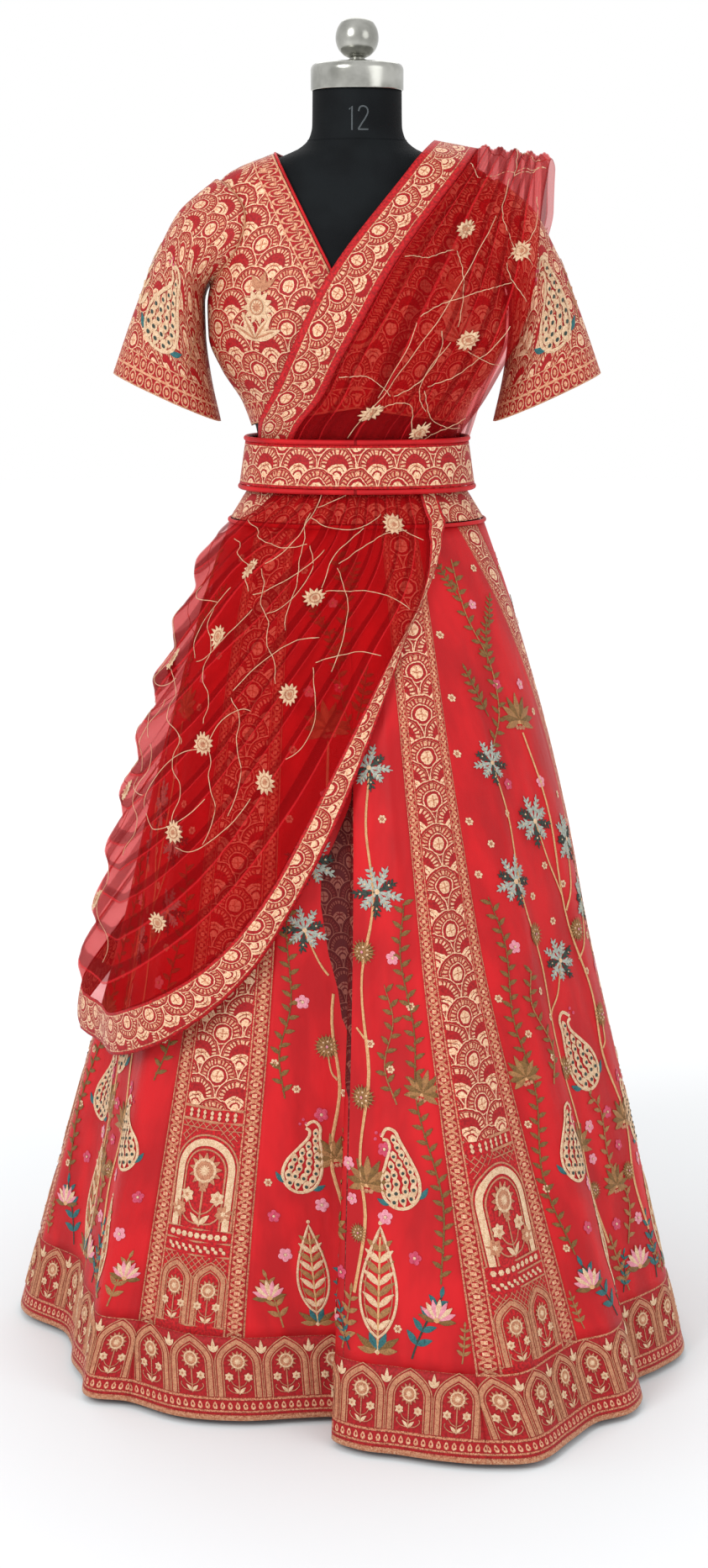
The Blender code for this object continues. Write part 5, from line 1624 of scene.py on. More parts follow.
@dataclass
class Choli:
    """Fitted bodice with a deep V neck and flared elbow sleeves."""

    form: Form
    ease: float = 0.0032
    shoulder_ease: float = 0.0022
    hem: float = 1.128
    side_hem: float = 1.104
    v_bottom: float = 1.220
    neck_point: tuple[float, float] = (0.0930, 1.403)
    shoulder_tip: float = 1.376
    armpit: float = 1.262
    armhole_turn: float = 27.0
    back_neck: float = 1.386
    sleeve_inset: float = 0.0022
    cord: float = 0.0016
    seam_cord: float = 0.0015
    neck_trim: float = 0.026
    # share of the way from hem to shoulder at which the neckline starts, front and back
    bends: tuple[float, float] = (0.35, 0.85)
    girth: float = 0.150

    def offset(self, z: Array) -> Array:
        """Distance from the form to the inside of the choli."""
        return self.ease + self.shoulder_ease * smooth(z, 1.325, 1.370)

    def domain(self, u: Array, v: Array, back: bool) -> tuple[Array, Array]:
        """Angle and height on a panel, u from its middle outward, v from hem to shoulder."""
        bend = self.bends[back]
        neck_low, hem = (self.back_neck, self.side_hem) if back else (self.v_bottom, self.hem)
        low = np.interp(v, [0.0, 0.5, bend], [0.0, 0.40, 1.0]) if back else np.clip(v / bend, 0, 1)
        up = np.clip((v - bend) / (1 - bend), 0, 1)
        z_in = np.where(v < bend, hem + (neck_low - hem) * low,
                        neck_low + (self.neck_point[1] - neck_low) * up)
        x = self.neck_point[0] * up**(0.6 if back else 0.95)
        phi_in = np.where(v < bend, 180.0 if back else 0.0, self.form.angle_at(x, z_in, back))
        low, up = np.clip(v / 0.5, 0, 1), np.clip((v - 0.5) / 0.5, 0, 1)
        mid, half = (self.armpit + self.shoulder_tip) / 2, (self.shoulder_tip - self.armpit) / 2
        z_out = np.where(v < 0.5, self.side_hem + (self.armpit - self.side_hem) * low,
                         mid - half * np.cos(math.pi * up))
        turn = np.where(v < 0.5, 0.0, self.armhole_turn * np.sin(math.pi * up))
        phi_out = 90.0 + (turn if back else -turn)
        return (1 - u) * phi_in + u * phi_out, (1 - u) * z_in + u * z_out

    def lift(self, phi: Array, z: Array, back: bool) -> Array:
        """Creases of the bodice."""
        u = np.radians(180 - phi if back else phi) * self.girth
        return creased(BACK_CREASES if back else FRONT_CREASES, u, z)

    def half(self, back: bool, side: float) -> Cloth:
        """One side of the front or the back."""
        bend = self.bends[back]
        parts = [0.0, 0.35, 0.5, 0.85, 0.975, 1.0]
        vs = np.unique(np.concatenate([np.linspace(a, b, max(int((b - a) * 66), 3))
                                       for a, b in zip(parts, parts[1:])]))
        us = np.linspace(0, 1, 34)
        v, u = np.meshgrid(vs, us, indexing="ij")
        phi, z = self.domain(u, v, back)
        rise = self.offset(z) + self.lift(phi, z, back)
        points = mirrored(self.form.off(phi, z, rise), side)
        normals = mirrored(self.form.normal(phi, z), side)
        middle = (u == 0) & (v <= bend + 1e-9)
        normals[middle, 0] = 0.0
        run = np.radians(180 - phi if back else phi) * self.girth
        neck = points[vs >= bend - 1e-9, 0]
        hem = points[0]
        layers = {"cloth": beside(side * run, z),
                  "edges": edge_field(points, [neck, hem])}
        name = "choli_back_cloth" if back else "choli_front_cloth"
        return Cloth.grid(name, points, unit(normals), layers, CHOLI_WALL, (side > 0) == back)

    def armhole(self, turn: Array, share: float = 1.0) -> tuple[Array, Array]:
        """Armhole loop at +X: 0 at the shoulder tip, 90 at the front, 180 at the armpit.

        Share goes from the choli's edge, at 0, to the sleeve's, at 1.
        """
        a = np.radians(turn)
        mid, half = (self.armpit + self.shoulder_tip) / 2, (self.shoulder_tip - self.armpit) / 2
        tight = 1 - share * self.sleeve_inset / half
        return 90.0 - self.armhole_turn * tight * np.sin(a), mid + half * tight * np.cos(a)

    def seam(self, side: float) -> Array:
        """Loop of the cord that covers an armhole's seam."""
        phi, z = self.armhole(np.arange(0.0, 360.0, 4.0), 0.5)
        return mirrored(self.form.off(phi, z, self.offset(z) + 0.7 * CHOLI_WALL), side)

    def sleeve_point(self, turn: Array, along: Array) -> Array:
        """Point on the sleeve at +X; along runs from the armhole to the cuff."""
        phi, z = self.armhole(turn)
        rise = self.offset(z) + 0.0060 * np.clip(along / 0.05, 0, 1)
        start = self.form.surface(phi, z) + self.form.normal(phi, z) * rise[..., None]
        ox, oz, ix, iz, depth = columns(SLEEVE, along)
        c, s = np.cos(np.radians(turn)), np.sin(np.radians(turn))
        ripple = 1 + 0.07 * along * np.sin(3 * np.radians(turn) + 0.8) * (1 - np.abs(c))
        fold = creased(SLEEVE_CREASES, np.mod(turn, 360.0) / 360 * SLEEVE_GIRTH, along * 0.22)
        ring = beside((ox + ix) / 2 + (ox - ix) / 2 * c, -(depth + fold) * s * ripple,
                      (oz + iz) / 2 + (oz - iz) / 2 * c)
        share = smooth(along, 0.04, 0.24)[..., None]
        return start * (1 - share) + ring * share

    def sleeve(self, name: str, side: float) -> Cloth:
        """A sleeve, split on its underside."""
        along, turn = np.meshgrid(np.linspace(0, 1, 46), np.linspace(180, 540, 121), indexing="ij")

        def surface(u: Array, v: Array) -> Array:
            """The sleeve on its own side."""
            return mirrored(self.sleeve_point(u, v), side)
        points = surface(turn, along)
        normals = normals_of(surface, turn, along, 0.05, 1e-3)
        out = ((points - points.mean(axis=1, keepdims=True)) * normals).sum()
        run = lengths_along(points)
        cuff = run[-1:] - run
        layers = {"cloth": beside((turn - 360) / 360 * SLEEVE_GIRTH * side, -run),
                  "edges": beside(cuff, turn / 360 * SLEEVE_GIRTH)}
        return Cloth.grid(name, points, normals * np.sign(out), layers, CHOLI_WALL, out < 0)

    def neck_edge(self, v: float, back: bool) -> Array:
        """Point just inside the neckline, where the piping runs."""
        def point(u: float, w: float) -> Array:
            """Middle of the choli's wall."""
            phi, z = self.domain(np.array(u), np.array(w), back)
            return self.form.off(phi, z, self.offset(z) + 0.5 * CHOLI_WALL)
        bend = self.bends[back]
        edge = point(0.0, v)
        if v <= bend + 1e-9:
            return edge + np.array([0.0, 0.0, self.cord + 0.0010])
        along = point(0.0, min(v + 0.005, 1.0)) - point(0.0, v - 0.005)
        along /= np.linalg.norm(along)
        away = edge - point(0.04, v)
        away -= away.dot(along) * along
        return edge + away / np.linalg.norm(away) * (self.cord + 0.0006)

    def neckline(self) -> Array:
        """Loop of the neck piping."""
        front = [self.neck_edge(v, False) for v in np.linspace(0.37, 0.985, 40)]
        back = [self.neck_edge(v, True) for v in (1.0, 0.985, 0.97, 0.95, 0.93, 0.905, 0.88)]
        low = mirrored(self.neck_edge(self.bends[0], False), 0.0)
        rear = mirrored(self.neck_edge(self.bends[1], True), 0.0)
        half = np.array([*front, *back])
        return np.vstack([low, half, rear, mirrored(half[::-1], -1.0)])

    def motifs(self) -> Stitches:
        """Corded paisleys on the sleeves and on the bust."""
        work = Stitches()
        for side in (1.0, -1.0):
            def sleeve(u: Array, v: Array, side: float = side) -> Array:
                """The sleeve's surface."""
                return mirrored(self.sleeve_point(u, v), side)
            hoop = Hoop()
            frame = hoop.at(0, -0.060, 4 * side, 1.0, side < 0)
            paisley(frame.at(0, 0, size=0.098))
            sprig(frame.at(0.036, 0.010, -24, 0.070), 4, Thread.CREAM, Thread.GOLD)
            sprig(frame.at(-0.040, 0.012, 20, 0.052), 3, Thread.GOLD, Thread.GOLD)
            work.add(hoop.laid(Spot(sleeve, 72.0, 0.52, 6.0, 0.05, CHOLI_WALL, side)))

            def bust(u: Array, v: Array, side: float = side) -> Array:
                """The bodice's surface."""
                rise = self.offset(v) + self.lift(np.abs(u), v, False)
                return mirrored(self.form.off(np.abs(u), v, rise), side)
            hoop = Hoop()
            frame = hoop.at(0.0, -0.036, 6, 1.0, side < 0)
            rosette(frame.at(0, 0.040, size=0.019), 11, Thread.CREAM, Thread.GOLD)
            frame.ring(0, 0.040, 0.0080, 0.0016, Thread.GOLD, 14, 0.0022)
            for turn in (-66, -34, 34, 66):
                frame.leaf(0, 0.004, turn, 0.034, 0.010, Thread.CREAM, 0.0, 0.0012)
                frame.leaf(0, 0.005, turn, 0.026, 0.003, Thread.GOLD, 0.0, 0.0010, 0.0014)
            for turn in (-44, 0, 44):
                frame.leaf(0, 0.056, turn, 0.022, 0.008, Thread.GOLD, 0.0, 0.0012)
            place = Spot(lambda u, v: bust(u, -v), 50.0, -1.235, 2.0, 0.004, CHOLI_WALL, -side)
            work.add(hoop.laid(place))
        return work

    def build(self, wardrobe: Wardrobe) -> None:
        """Build the choli's pieces."""
        scales = wardrobe[ScaleCloth("choli_zari", edge=self.neck_trim)]
        sleeves = wardrobe[ScaleCloth("sleeve_zari", 0.044, 0.0215, edge=0.036, edge_rows=2.0)]
        lining, gold = wardrobe[LINING], wardrobe[Thread.GOLD]
        for back, node in ((False, "choli_front"), (True, "choli_back")):
            cloth = self.half(back, 1.0).joined(self.half(back, -1.0))
            sew(cloth, node, scales, lining, (0.52, 0.31), "jersey_torso", cloth.area())
        for node, side in (("sleeve_left", 1.0), ("sleeve_right", -1.0)):
            cloth = self.sleeve(f"{node}_cloth", side)
            sew(cloth, node, sleeves, lining, (0.43, 0.26), "choli_front_cloth", cloth.area())
            tube(f"{node}_seam_cord", self.seam(side), self.seam_cord, gold, 8, closed=True)
        piping = tube("neck_piping_cord", self.neckline(), self.cord, wardrobe[PIPING], 10, closed=True)
        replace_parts(piping, "neck_piping")
        self.motifs().build("choli_corded_motifs", wardrobe)
        LOG.info("choli built")


@dataclass
class Waist:
    """Waistband of the skirt and the belt over the dupatta."""

    belt_cord: float = 0.0030
    waist_cord: float = 0.0024
    ring: tuple[float, float, float] = (0.1465, 0.1120, 0.1180)

    def band(self, name: str, rows: Array, count: int, wall: float) -> Cloth:
        """A band through a table of rings, split at the back."""
        heights = np.linspace(rows[0, 0], rows[-1, 0], count)
        z, phi = np.meshgrid(heights, np.linspace(-180, 180, 181), indexing="ij")

        def surface(u: Array, v: Array) -> Array:
            """Angle and height on the band."""
            half, front, back = columns(rows, v)
            return polar(u, ring_radius(u, half, front, back, RING_POWER), v)
        points = surface(phi, z)
        normals = normals_of(surface, phi, z, 0.05, 2e-4)
        run = lengths_along(points, 1)
        run = (run / run[:, -1:] - 0.5) * run[:1, -1:]
        up = lengths_along(points)
        edge = np.minimum(up, up[-1:] - up)
        layers = {"cloth": beside(run, up), "edges": beside(edge, run)}
        return Cloth.grid(name, points, normals, layers, wall)

    def build(self, wardrobe: Wardrobe) -> None:
        """Build the waistband, the belt and their pipings."""
        lining, satin = wardrobe[LINING], wardrobe[PIPING]
        cloth = self.band("waistband_cloth", WAISTBAND, 22, SKIRT_WALL)
        scales = wardrobe[ScaleCloth("waistband_zari", 0.044, 0.0215)]
        sew(cloth, "waistband", scales, lining, (0.84, 0.085), "jersey_torso")
        cloth = self.band("belt_cloth", BELT[[0, -1]], 12, TRIM_WALL)
        scales = wardrobe[ScaleCloth("belt_zari", 0.046, 0.0245, 0.0, 0.0030)]
        sew(cloth, "belt_band", scales, lining, (0.76, 0.052), "waistband_cloth")
        phi = np.linspace(0, 360, 180, endpoint=False)
        half, front, back = (side + 0.0018 for side in self.ring)
        path = polar(phi, ring_radius(phi, half, front, back, RING_POWER), 0.9955)
        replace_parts(tube("waist_piping_cord", path, self.waist_cord, satin, 10, closed=True),
                    "waist_piping")
        for node, row, way in (("belt_piping_bottom", BELT[0], -1), ("belt_piping_top", BELT[-1], 1)):
            half, front, back = row[1:4] + 0.5 * TRIM_WALL
            radius = ring_radius(phi, half, front, back, RING_POWER)
            path = polar(phi, radius, row[0] + way * (self.belt_cord + 0.0003))
            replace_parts(tube(f"{node}_cord", path, self.belt_cord, satin, 10, closed=True), node)
        LOG.info("waist built")


# Creases: s round the hem and height where each starts, where it ends, half width, height
SKIRT_CREASES = (
    (0.060, 0.16, 0.075, 0.70, 0.014, -0.0022), (0.118, 0.42, 0.150, 0.92, 0.010, 0.0018),
    (0.190, 0.14, 0.170, 0.55, 0.016, 0.0020), (0.262, 0.30, 0.240, 0.88, 0.012, -0.0020),
    (0.300, 0.12, 0.305, 0.40, 0.010, 0.0014), (0.372, 0.22, 0.385, 0.62, 0.010, -0.0012),
    (0.430, 0.50, 0.418, 0.90, 0.008, 0.0012), (0.505, 0.14, 0.520, 0.58, 0.014, 0.0022),
    (0.560, 0.35, 0.575, 0.90, 0.011, -0.0018), (0.700, 0.18, 0.690, 0.66, 0.016, 0.0024),
    (0.752, 0.12, 0.770, 0.46, 0.012, -0.0020), (0.790, 0.40, 0.775, 0.86, 0.011, 0.0018),
    (0.882, 0.18, 0.880, 0.52, 0.010, 0.0010), (0.945, 0.40, 0.930, 0.84, 0.010, -0.0012),
    (1.040, 0.16, 1.060, 0.62, 0.014, -0.0022), (1.092, 0.30, 1.100, 0.86, 0.011, 0.0020),
    (1.165, 0.12, 1.150, 0.50, 0.016, 0.0024), (1.230, 0.26, 1.205, 0.80, 0.013, -0.0024),
    (1.292, 0.14, 1.300, 0.56, 0.012, 0.0020), (1.338, 0.34, 1.345, 0.84, 0.010, -0.0016),
    (1.430, 0.20, 1.425, 0.66, 0.010, 0.0012), (1.545, 0.14, 1.530, 0.60, 0.014, 0.0022),
    (1.610, 0.30, 1.625, 0.88, 0.012, -0.0020), (1.680, 0.12, 1.670, 0.48, 0.013, 0.0018),
    (1.790, 0.24, 1.800, 0.70, 0.010, -0.0012), (1.920, 0.14, 1.905, 0.64, 0.015, 0.0024),
    (1.985, 0.34, 2.000, 0.90, 0.011, -0.0018), (2.062, 0.12, 2.075, 0.52, 0.013, 0.0020),
    (2.185, 0.22, 2.180, 0.68, 0.010, 0.0010), (2.310, 0.14, 2.325, 0.60, 0.014, -0.0022),
    (2.378, 0.30, 2.365, 0.86, 0.012, 0.0020), (2.450, 0.12, 2.440, 0.50, 0.013, -0.0018),
    (2.565, 0.24, 2.575, 0.72, 0.010, 0.0012))
MIDDLE = 0.40
# What one lap of the skirt adds to the plan's numbers, which run round the hem by length
LAP = np.array([360.0, 0.0, 360.0, 360.0])
PLAN_ROWS = np.array([row[:4] for row in PLAN])
PLAN_XY = polar(PLAN_ROWS[:, 0], PLAN_ROWS[:, 1], 0.0)[:, :2]
PLAN_S = np.concatenate([[0.0], np.cumsum(np.linalg.norm(
    np.diff(np.vstack([PLAN_XY, PLAN_XY[:1]]), axis=0), axis=1))])
HEM_LENGTH = float(PLAN_S[-1])


@dataclass
class Skirt:
    """Twelve flared panels and the hem border."""

    top: float = 0.9925
    hem: float = 0.0080
    border_top: float = 0.1000
    waist_ring: tuple[float, float, float] = (0.1465, 0.1120, 0.1180)
    hem_ring: tuple[float, float, float] = (0.4000, 0.3850, 0.3900)
    slant: float = 1.02

    def fall_at(self, z: Array | float) -> Array | float:
        """Share of the fall at a height."""
        return (self.top - z) / (self.top - self.hem)

    def plan_at(self, s: Array) -> Array:
        """Hem angle and radius, waist angle and middle angle at s round the hem."""
        turns = np.floor(s / HEM_LENGTH)
        x = s - turns * HEM_LENGTH
        count = len(PLAN)
        i = np.clip(np.searchsorted(PLAN_S, x, side="right") - 1, 0, count - 1)

        def row(k: Array) -> tuple[Array, Array]:
            """A row of the plan, any number of laps on."""
            lap = np.floor(k / count)
            k = np.mod(k, count)
            return PLAN_ROWS[k] + lap[..., None] * LAP, PLAN_S[k] + lap * HEM_LENGTH
        (p0, s0), (p1, s1), (p2, s2), (p3, s3) = (row(i + k) for k in (-1, 0, 1, 2))
        h = (s2 - s1)[..., None]
        f = (x - s1)[..., None] / h
        leaving = (p2 - p0) / (s2 - s0)[..., None] * h
        arriving = (p3 - p1) / (s3 - s1)[..., None] * h
        value = hermite(f, p1, p2, leaving, arriving)
        return np.moveaxis(value + turns[..., None] * LAP, -1, 0)

    def polar_at(self, s: Array, fall: Array) -> tuple[Array, Array]:
        """Angle and radius of the smooth skirt."""
        hem_phi, hem_radius, waist_phi, middle_phi = self.plan_at(s)
        flare, depth = columns(FLARE, fall)
        bow = middle_phi - (waist_phi + (hem_phi - waist_phi) * MIDDLE)
        bow = bow * (fall * (1 - fall)**2) / (MIDDLE * (1 - MIDDLE)**2)
        phi = waist_phi + (hem_phi - waist_phi) * fall + bow
        waist = ring_radius(phi, *self.waist_ring, RING_POWER)
        round_hem = ring_radius(phi, *self.hem_ring, RING_POWER)
        fold = hem_radius - ring_radius(hem_phi, *self.hem_ring, RING_POWER)
        return phi, waist + (round_hem - waist) * flare + fold * depth

    def point(self, s: Array, fall: Array) -> Array:
        """Point on the inside of the creased skirt."""
        s, fall = np.broadcast_arrays(np.asarray(s, float), np.asarray(fall, float))
        phi, radius = self.polar_at(s, fall)
        crease = creased(SKIRT_CREASES, np.mod(s, HEM_LENGTH), (1 - fall) * self.slant)
        return polar(phi, radius + crease, self.top + (self.hem - self.top) * fall)

    def normal(self, s: Array, fall: Array) -> Array:
        """Way out of the skirt."""
        return -normals_of(self.point, s, fall, 1e-4, 1e-4)


@dataclass
class Panel:
    """A panel with flat coordinates: x across from its middle line and y above the hem."""

    skirt: Skirt
    name: str
    start: float
    end: float
    first_fall: float
    last_fall: float
    rows: int = 60
    columns: int = 101

    def __post_init__(self) -> None:
        """Measure the cloth."""
        self.falls = np.linspace(0, 1, self.rows)
        shares = np.linspace(0, 1, self.columns)
        fall, s = np.meshgrid(self.falls, np.linspace(self.start, self.end, 201), indexing="ij")
        points = self.skirt.point(s, fall)
        along = lengths_along(points, 1)
        self.widths = along[:, -1]
        self.s_at = np.array([np.interp(shares, a / a[-1], row) for a, row in zip(along, s)])
        middle = self.s_at[:, self.columns // 2]
        down = lengths_along(self.skirt.point(middle, self.falls))
        self.heights = down[-1] - down

    def fall_of(self, y: Array | float) -> Array:
        """Fall at a height above the hem."""
        return np.interp(y, self.heights[::-1], self.falls[::-1])

    def half(self, y: Array | float) -> Array:
        """Half the panel's width at a height above the hem."""
        return np.interp(self.fall_of(y), self.falls, self.widths) / 2

    def s_of(self, share: Array, fall: Array) -> Array:
        """Distance round the hem at a share across and a fall."""
        return bilinear(self.s_at, fall * (self.rows - 1), share * (self.columns - 1))

    def place(self, x: Array, y: Array, lift: Array) -> Array:
        """Points on the cloth, from flat coordinates and a height off it."""
        fall = self.fall_of(y)
        share = np.clip(x / (2 * self.half(y)) + 0.5, 0.0, 1.0)
        s = self.s_of(share, fall)
        return self.skirt.point(s, fall) + self.skirt.normal(s, fall) * (SKIRT_WALL + lift)[..., None]

    def cloth(self, name: str, pitch: float = 0.007, fall_pitch: float = 0.014) -> Cloth:
        """The panel's cloth."""
        cols = int((self.end - self.start) / pitch) + 2
        length = float(np.interp(self.first_fall, self.falls, self.heights)
                       - np.interp(self.last_fall, self.falls, self.heights))
        rows = int(length / fall_pitch) + 2
        fall, share = np.meshgrid(np.linspace(self.first_fall, self.last_fall, rows),
                                  np.linspace(0, 1, cols), indexing="ij")
        s = self.s_of(share, fall)
        s[:, 0], s[:, -1] = self.start, self.end
        width = np.interp(fall, self.falls, self.widths)
        y = np.interp(fall, self.falls, self.heights)
        layers = {"cloth": beside((share - 0.5) * width, y),
                  "edges": beside(1 - np.abs(share - 0.5) * 2, y)}
        return Cloth.grid(name, self.skirt.point(s, fall), self.skirt.normal(s, fall), layers,
                          SKIRT_WALL, flip=True)


class Motif(Enum):
    """Flowers and leaves of the red panels: the function that stitches each and its settings."""

    CYPRESS = (cypress,)
    LOTUS = (lotus,)
    PAISLEY = (paisley,)
    STAR = (star_spray,)
    FAN = (fan_bloom,)
    POMPOM = (pompom,)
    POSY = (posy,)
    ROSE = (posy, Thread.ROSE)
    SPRIG = (sprig, 5, Thread.OLIVE)
    FERN = (sprig, 4, Thread.TEAL, Thread.SPRUCE, -0.15)
    TUFT = (sprig, 4, Thread.BRONZE, Thread.BRONZE, 0.05)
    BUTI = (buti,)

    def stitch(self, hoop: Hoop) -> None:
        """Stitch this motif in a frame, one unit big."""
        work, *settings = self.value
        work(hoop, *settings)


# for each motif: share of the half width from the middle, height above the hem, size, turn
WIDE_GARDEN = {
    Motif.CYPRESS: ((-0.34, 0.106, 0.140, 0), (0.50, 0.106, 0.118, 0)),
    Motif.LOTUS: ((0.08, 0.128, 0.027, 0), (-0.78, 0.150, 0.024, 8), (0.84, 0.140, 0.022, -6)),
    Motif.FERN: ((-0.58, 0.106, 0.076, 16), (0.24, 0.106, 0.072, -14), (-0.14, 0.106, 0.046, -26)),
    Motif.TUFT: ((-0.08, 0.106, 0.064, 12), (0.74, 0.106, 0.060, -10), (-0.92, 0.106, 0.052, 6),
        (0.36, 0.106, 0.044, 22)),
    Motif.PAISLEY: ((0.03, 0.352, 0.100, 14), (-0.62, 0.268, 0.090, -16), (0.66, 0.262, 0.086, 18)),
    Motif.FAN: ((-0.30, 0.292, 0.030, 0), (0.34, 0.300, 0.029, -8), (0.04, 0.232, 0.026, 0),
        (-0.86, 0.395, 0.026, 12), (0.24, 0.790, 0.032, -8)),
    Motif.POMPOM: ((-0.27, 0.385, 0.0145, 0), (0.40, 0.428, 0.0150, 0), (-0.30, 0.545, 0.0140, 0),
        (0.34, 0.535, 0.0145, 0), (0.22, 0.242, 0.0115, 0), (-0.22, 0.236, 0.0110, 0)),
    Motif.STAR: ((-0.50, 0.612, 0.029, 8), (0.54, 0.640, 0.029, 30), (0.02, 0.672, 0.030, 0),
        (0.64, 0.562, 0.026, 18), (-0.46, 0.748, 0.025, 0), (-0.02, 0.507, 0.027, 40)),
    Motif.SPRIG: ((-0.30, 0.800, 0.055, 18), (-0.02, 0.860, 0.050, -14), (-0.20, 0.940, 0.040, 20),
        (0.30, 0.900, 0.040, -22)),
    Motif.POSY: ((-0.44, 0.256, 0.0090, 0), (0.46, 0.246, 0.0085, 20), (-0.12, 0.310, 0.0080, 30),
        (0.20, 0.184, 0.0080, 15), (-0.16, 0.272, 0.0070, 40), (0.74, 0.190, 0.0085, 40),
        (0.66, 0.480, 0.0085, 0), (-0.66, 0.540, 0.0080, 0), (0.30, 0.715, 0.0075, 0),
        (0.55, 0.830, 0.0070, 0), (0.10, 0.930, 0.0060, 0)),
    Motif.ROSE: ((-0.46, 0.330, 0.0085, 20), (0.46, 0.350, 0.0085, 50), (0.14, 0.318, 0.0080, 0),
        (-0.06, 0.188, 0.0080, 0), (-0.66, 0.215, 0.0080, 10), (0.18, 0.276, 0.0070, 25),
        (0.84, 0.235, 0.0075, 5), (-0.25, 0.720, 0.0070, 0), (0.02, 0.835, 0.0065, 20))}
# thread, width, leaf of its vine, then share and height of each point of a stem
WIDE_STEMS = (
    (Thread.TAN, 0.0046, None, ((0.30, 0.165), (0.27, 0.23), (0.38, 0.30), (0.28, 0.38), (0.34, 0.46),
        (0.22, 0.56), (0.30, 0.68), (0.24, 0.775))),
    (Thread.TAN, 0.0040, None, ((-0.18, 0.170), (-0.28, 0.25), (-0.24, 0.32), (-0.34, 0.41),
        (-0.28, 0.51), (-0.44, 0.60), (-0.38, 0.68), (-0.46, 0.742))),
    (Thread.TAN, 0.0030, None, ((0.27, 0.50), (0.44, 0.52), (0.64, 0.560))),
    (Thread.TAN, 0.0030, None, ((0.22, 0.58), (0.10, 0.62), (0.02, 0.672))),
    (Thread.TAN, 0.0030, None, ((0.24, 0.56), (0.40, 0.59), (0.54, 0.640))),
    (Thread.TAN, 0.0028, None, ((-0.31, 0.45), (-0.14, 0.47), (-0.02, 0.505))),
    (Thread.TAN, 0.0028, None, ((0.30, 0.39), (0.36, 0.40), (0.40, 0.428))),
    (Thread.OLIVE, 0.0020, Thread.OLIVE, ((0.80, 0.37), (0.88, 0.42), (0.78, 0.48), (0.86, 0.56),
        (0.80, 0.62))),
    (Thread.OLIVE, 0.0020, Thread.OLIVE, ((-0.84, 0.19), (-0.93, 0.28), (-0.80, 0.38), (-0.84, 0.46),
        (-0.76, 0.54), (-0.84, 0.60))),
    (Thread.BRONZE, 0.0020, Thread.BRONZE, ((0.02, 0.16), (0.14, 0.21), (0.02, 0.26), (0.06, 0.32),
        (-0.03, 0.345))),
    (Thread.BRONZE, 0.0018, Thread.OLIVE, ((-0.60, 0.38), (-0.50, 0.42), (-0.62, 0.47), (-0.54, 0.51))),
    (Thread.BRONZE, 0.0018, Thread.OLIVE, ((-0.40, 0.76), (-0.10, 0.80), (0.02, 0.86), (-0.16, 0.92),
        (0.0, 0.985))))


@dataclass
class Garden:
    """Embroidery of the red panels."""

    seed: int = 12
    buti_pitch: float = 0.056
    buti_clear: float = 0.034
    buti_size: float = 0.0048

    def stitch(self, panel: Panel, flip: bool) -> Stitches:
        """Stitch one panel.

        Args:
            panel: the panel.
            flip: whether the layout is mirrored.

        Returns:
            The stitches on its cloth.
        """
        hoop = Hoop()
        way = -1.0 if flip else 1.0
        small = min(1.0, (2 * float(panel.half(0.20)) / 0.30)**0.6)

        def slip(x: float, y: float) -> bool:
            """Whether the slip, darkened as painted shade in the fold, shows at a point."""
            return panel.name == SLIP_PANEL and in_slip(x, y, 0.005)
        taken: list[tuple[float, float]] = []
        for thread, width, leaf, points in WIDE_STEMS:
            path = [(way * share * float(panel.half(y)), y) for share, y in points]
            curve = spline(path, 5 * len(path))
            taper = np.linspace(1.0, 0.55, len(curve))
            bare = np.array([slip(*at) for at in curve])
            for run in np.split(np.arange(len(curve)), np.flatnonzero(np.diff(bare)) + 1):
                if len(run) > 2 and not bare[run[0]]:
                    hoop.ribbon(curve[run], width * taper[run] * small, thread, 0.0005, 0.0011)
            if leaf is not None and not bare.any():
                vine(hoop, curve, width, leaf, 0.0085, 0.0125 * small)
        layout = ((motif, *at) for motif, places in WIDE_GARDEN.items() for at in places)
        for motif, share, y, size, turn in layout:
            half = float(panel.half(y))
            reach = size * small
            x = way * share * half
            if abs(x) + 0.006 > half or (motif is Motif.STAR and half < 0.045):
                continue
            if abs(x) + 0.45 * reach > half:
                reach *= 0.75
            if slip(x, y) or slip(x, y + 0.5 * reach) or slip(x, y + reach):
                continue
            motif.stitch(hoop.at(x, y, turn * way, reach, flip))
            taken.append((x, y))
            if motif in (Motif.PAISLEY, Motif.CYPRESS):
                taken += [(x, y + 0.4 * reach), (x, y + 0.8 * reach)]
        draw = random.Random(self.seed)
        for row, y in enumerate(np.arange(0.135, 1.0, self.buti_pitch * 0.62)):
            half = float(panel.half(y)) - 0.012
            for x in np.arange(-half + (row % 2) * self.buti_pitch / 2, half, self.buti_pitch):
                at = x + draw.uniform(-0.006, 0.006), y + draw.uniform(-0.006, 0.006)
                if not slip(*at) and all(math.dist(at, other) > self.buti_clear * small
                                         for other in taken):
                    Motif.BUTI.stitch(hoop.at(*at, size=self.buti_size))
        return hoop.laid(panel.place)


# Height above the hem and width of each rule on a gold panel
RULES = ((0.3500, 0.0030), (0.3350, 0.0030), (0.3265, 0.0012), (0.1985, 0.0022), (0.2125, 0.0022),
         (0.1830, 0.0022), (0.1035, 0.0022))
# Height of each row of leaves there, and the ways that a pair of them points
LEAF_ROWS = ((0.1905, (45, 225)), (0.3425, (0, 180)))


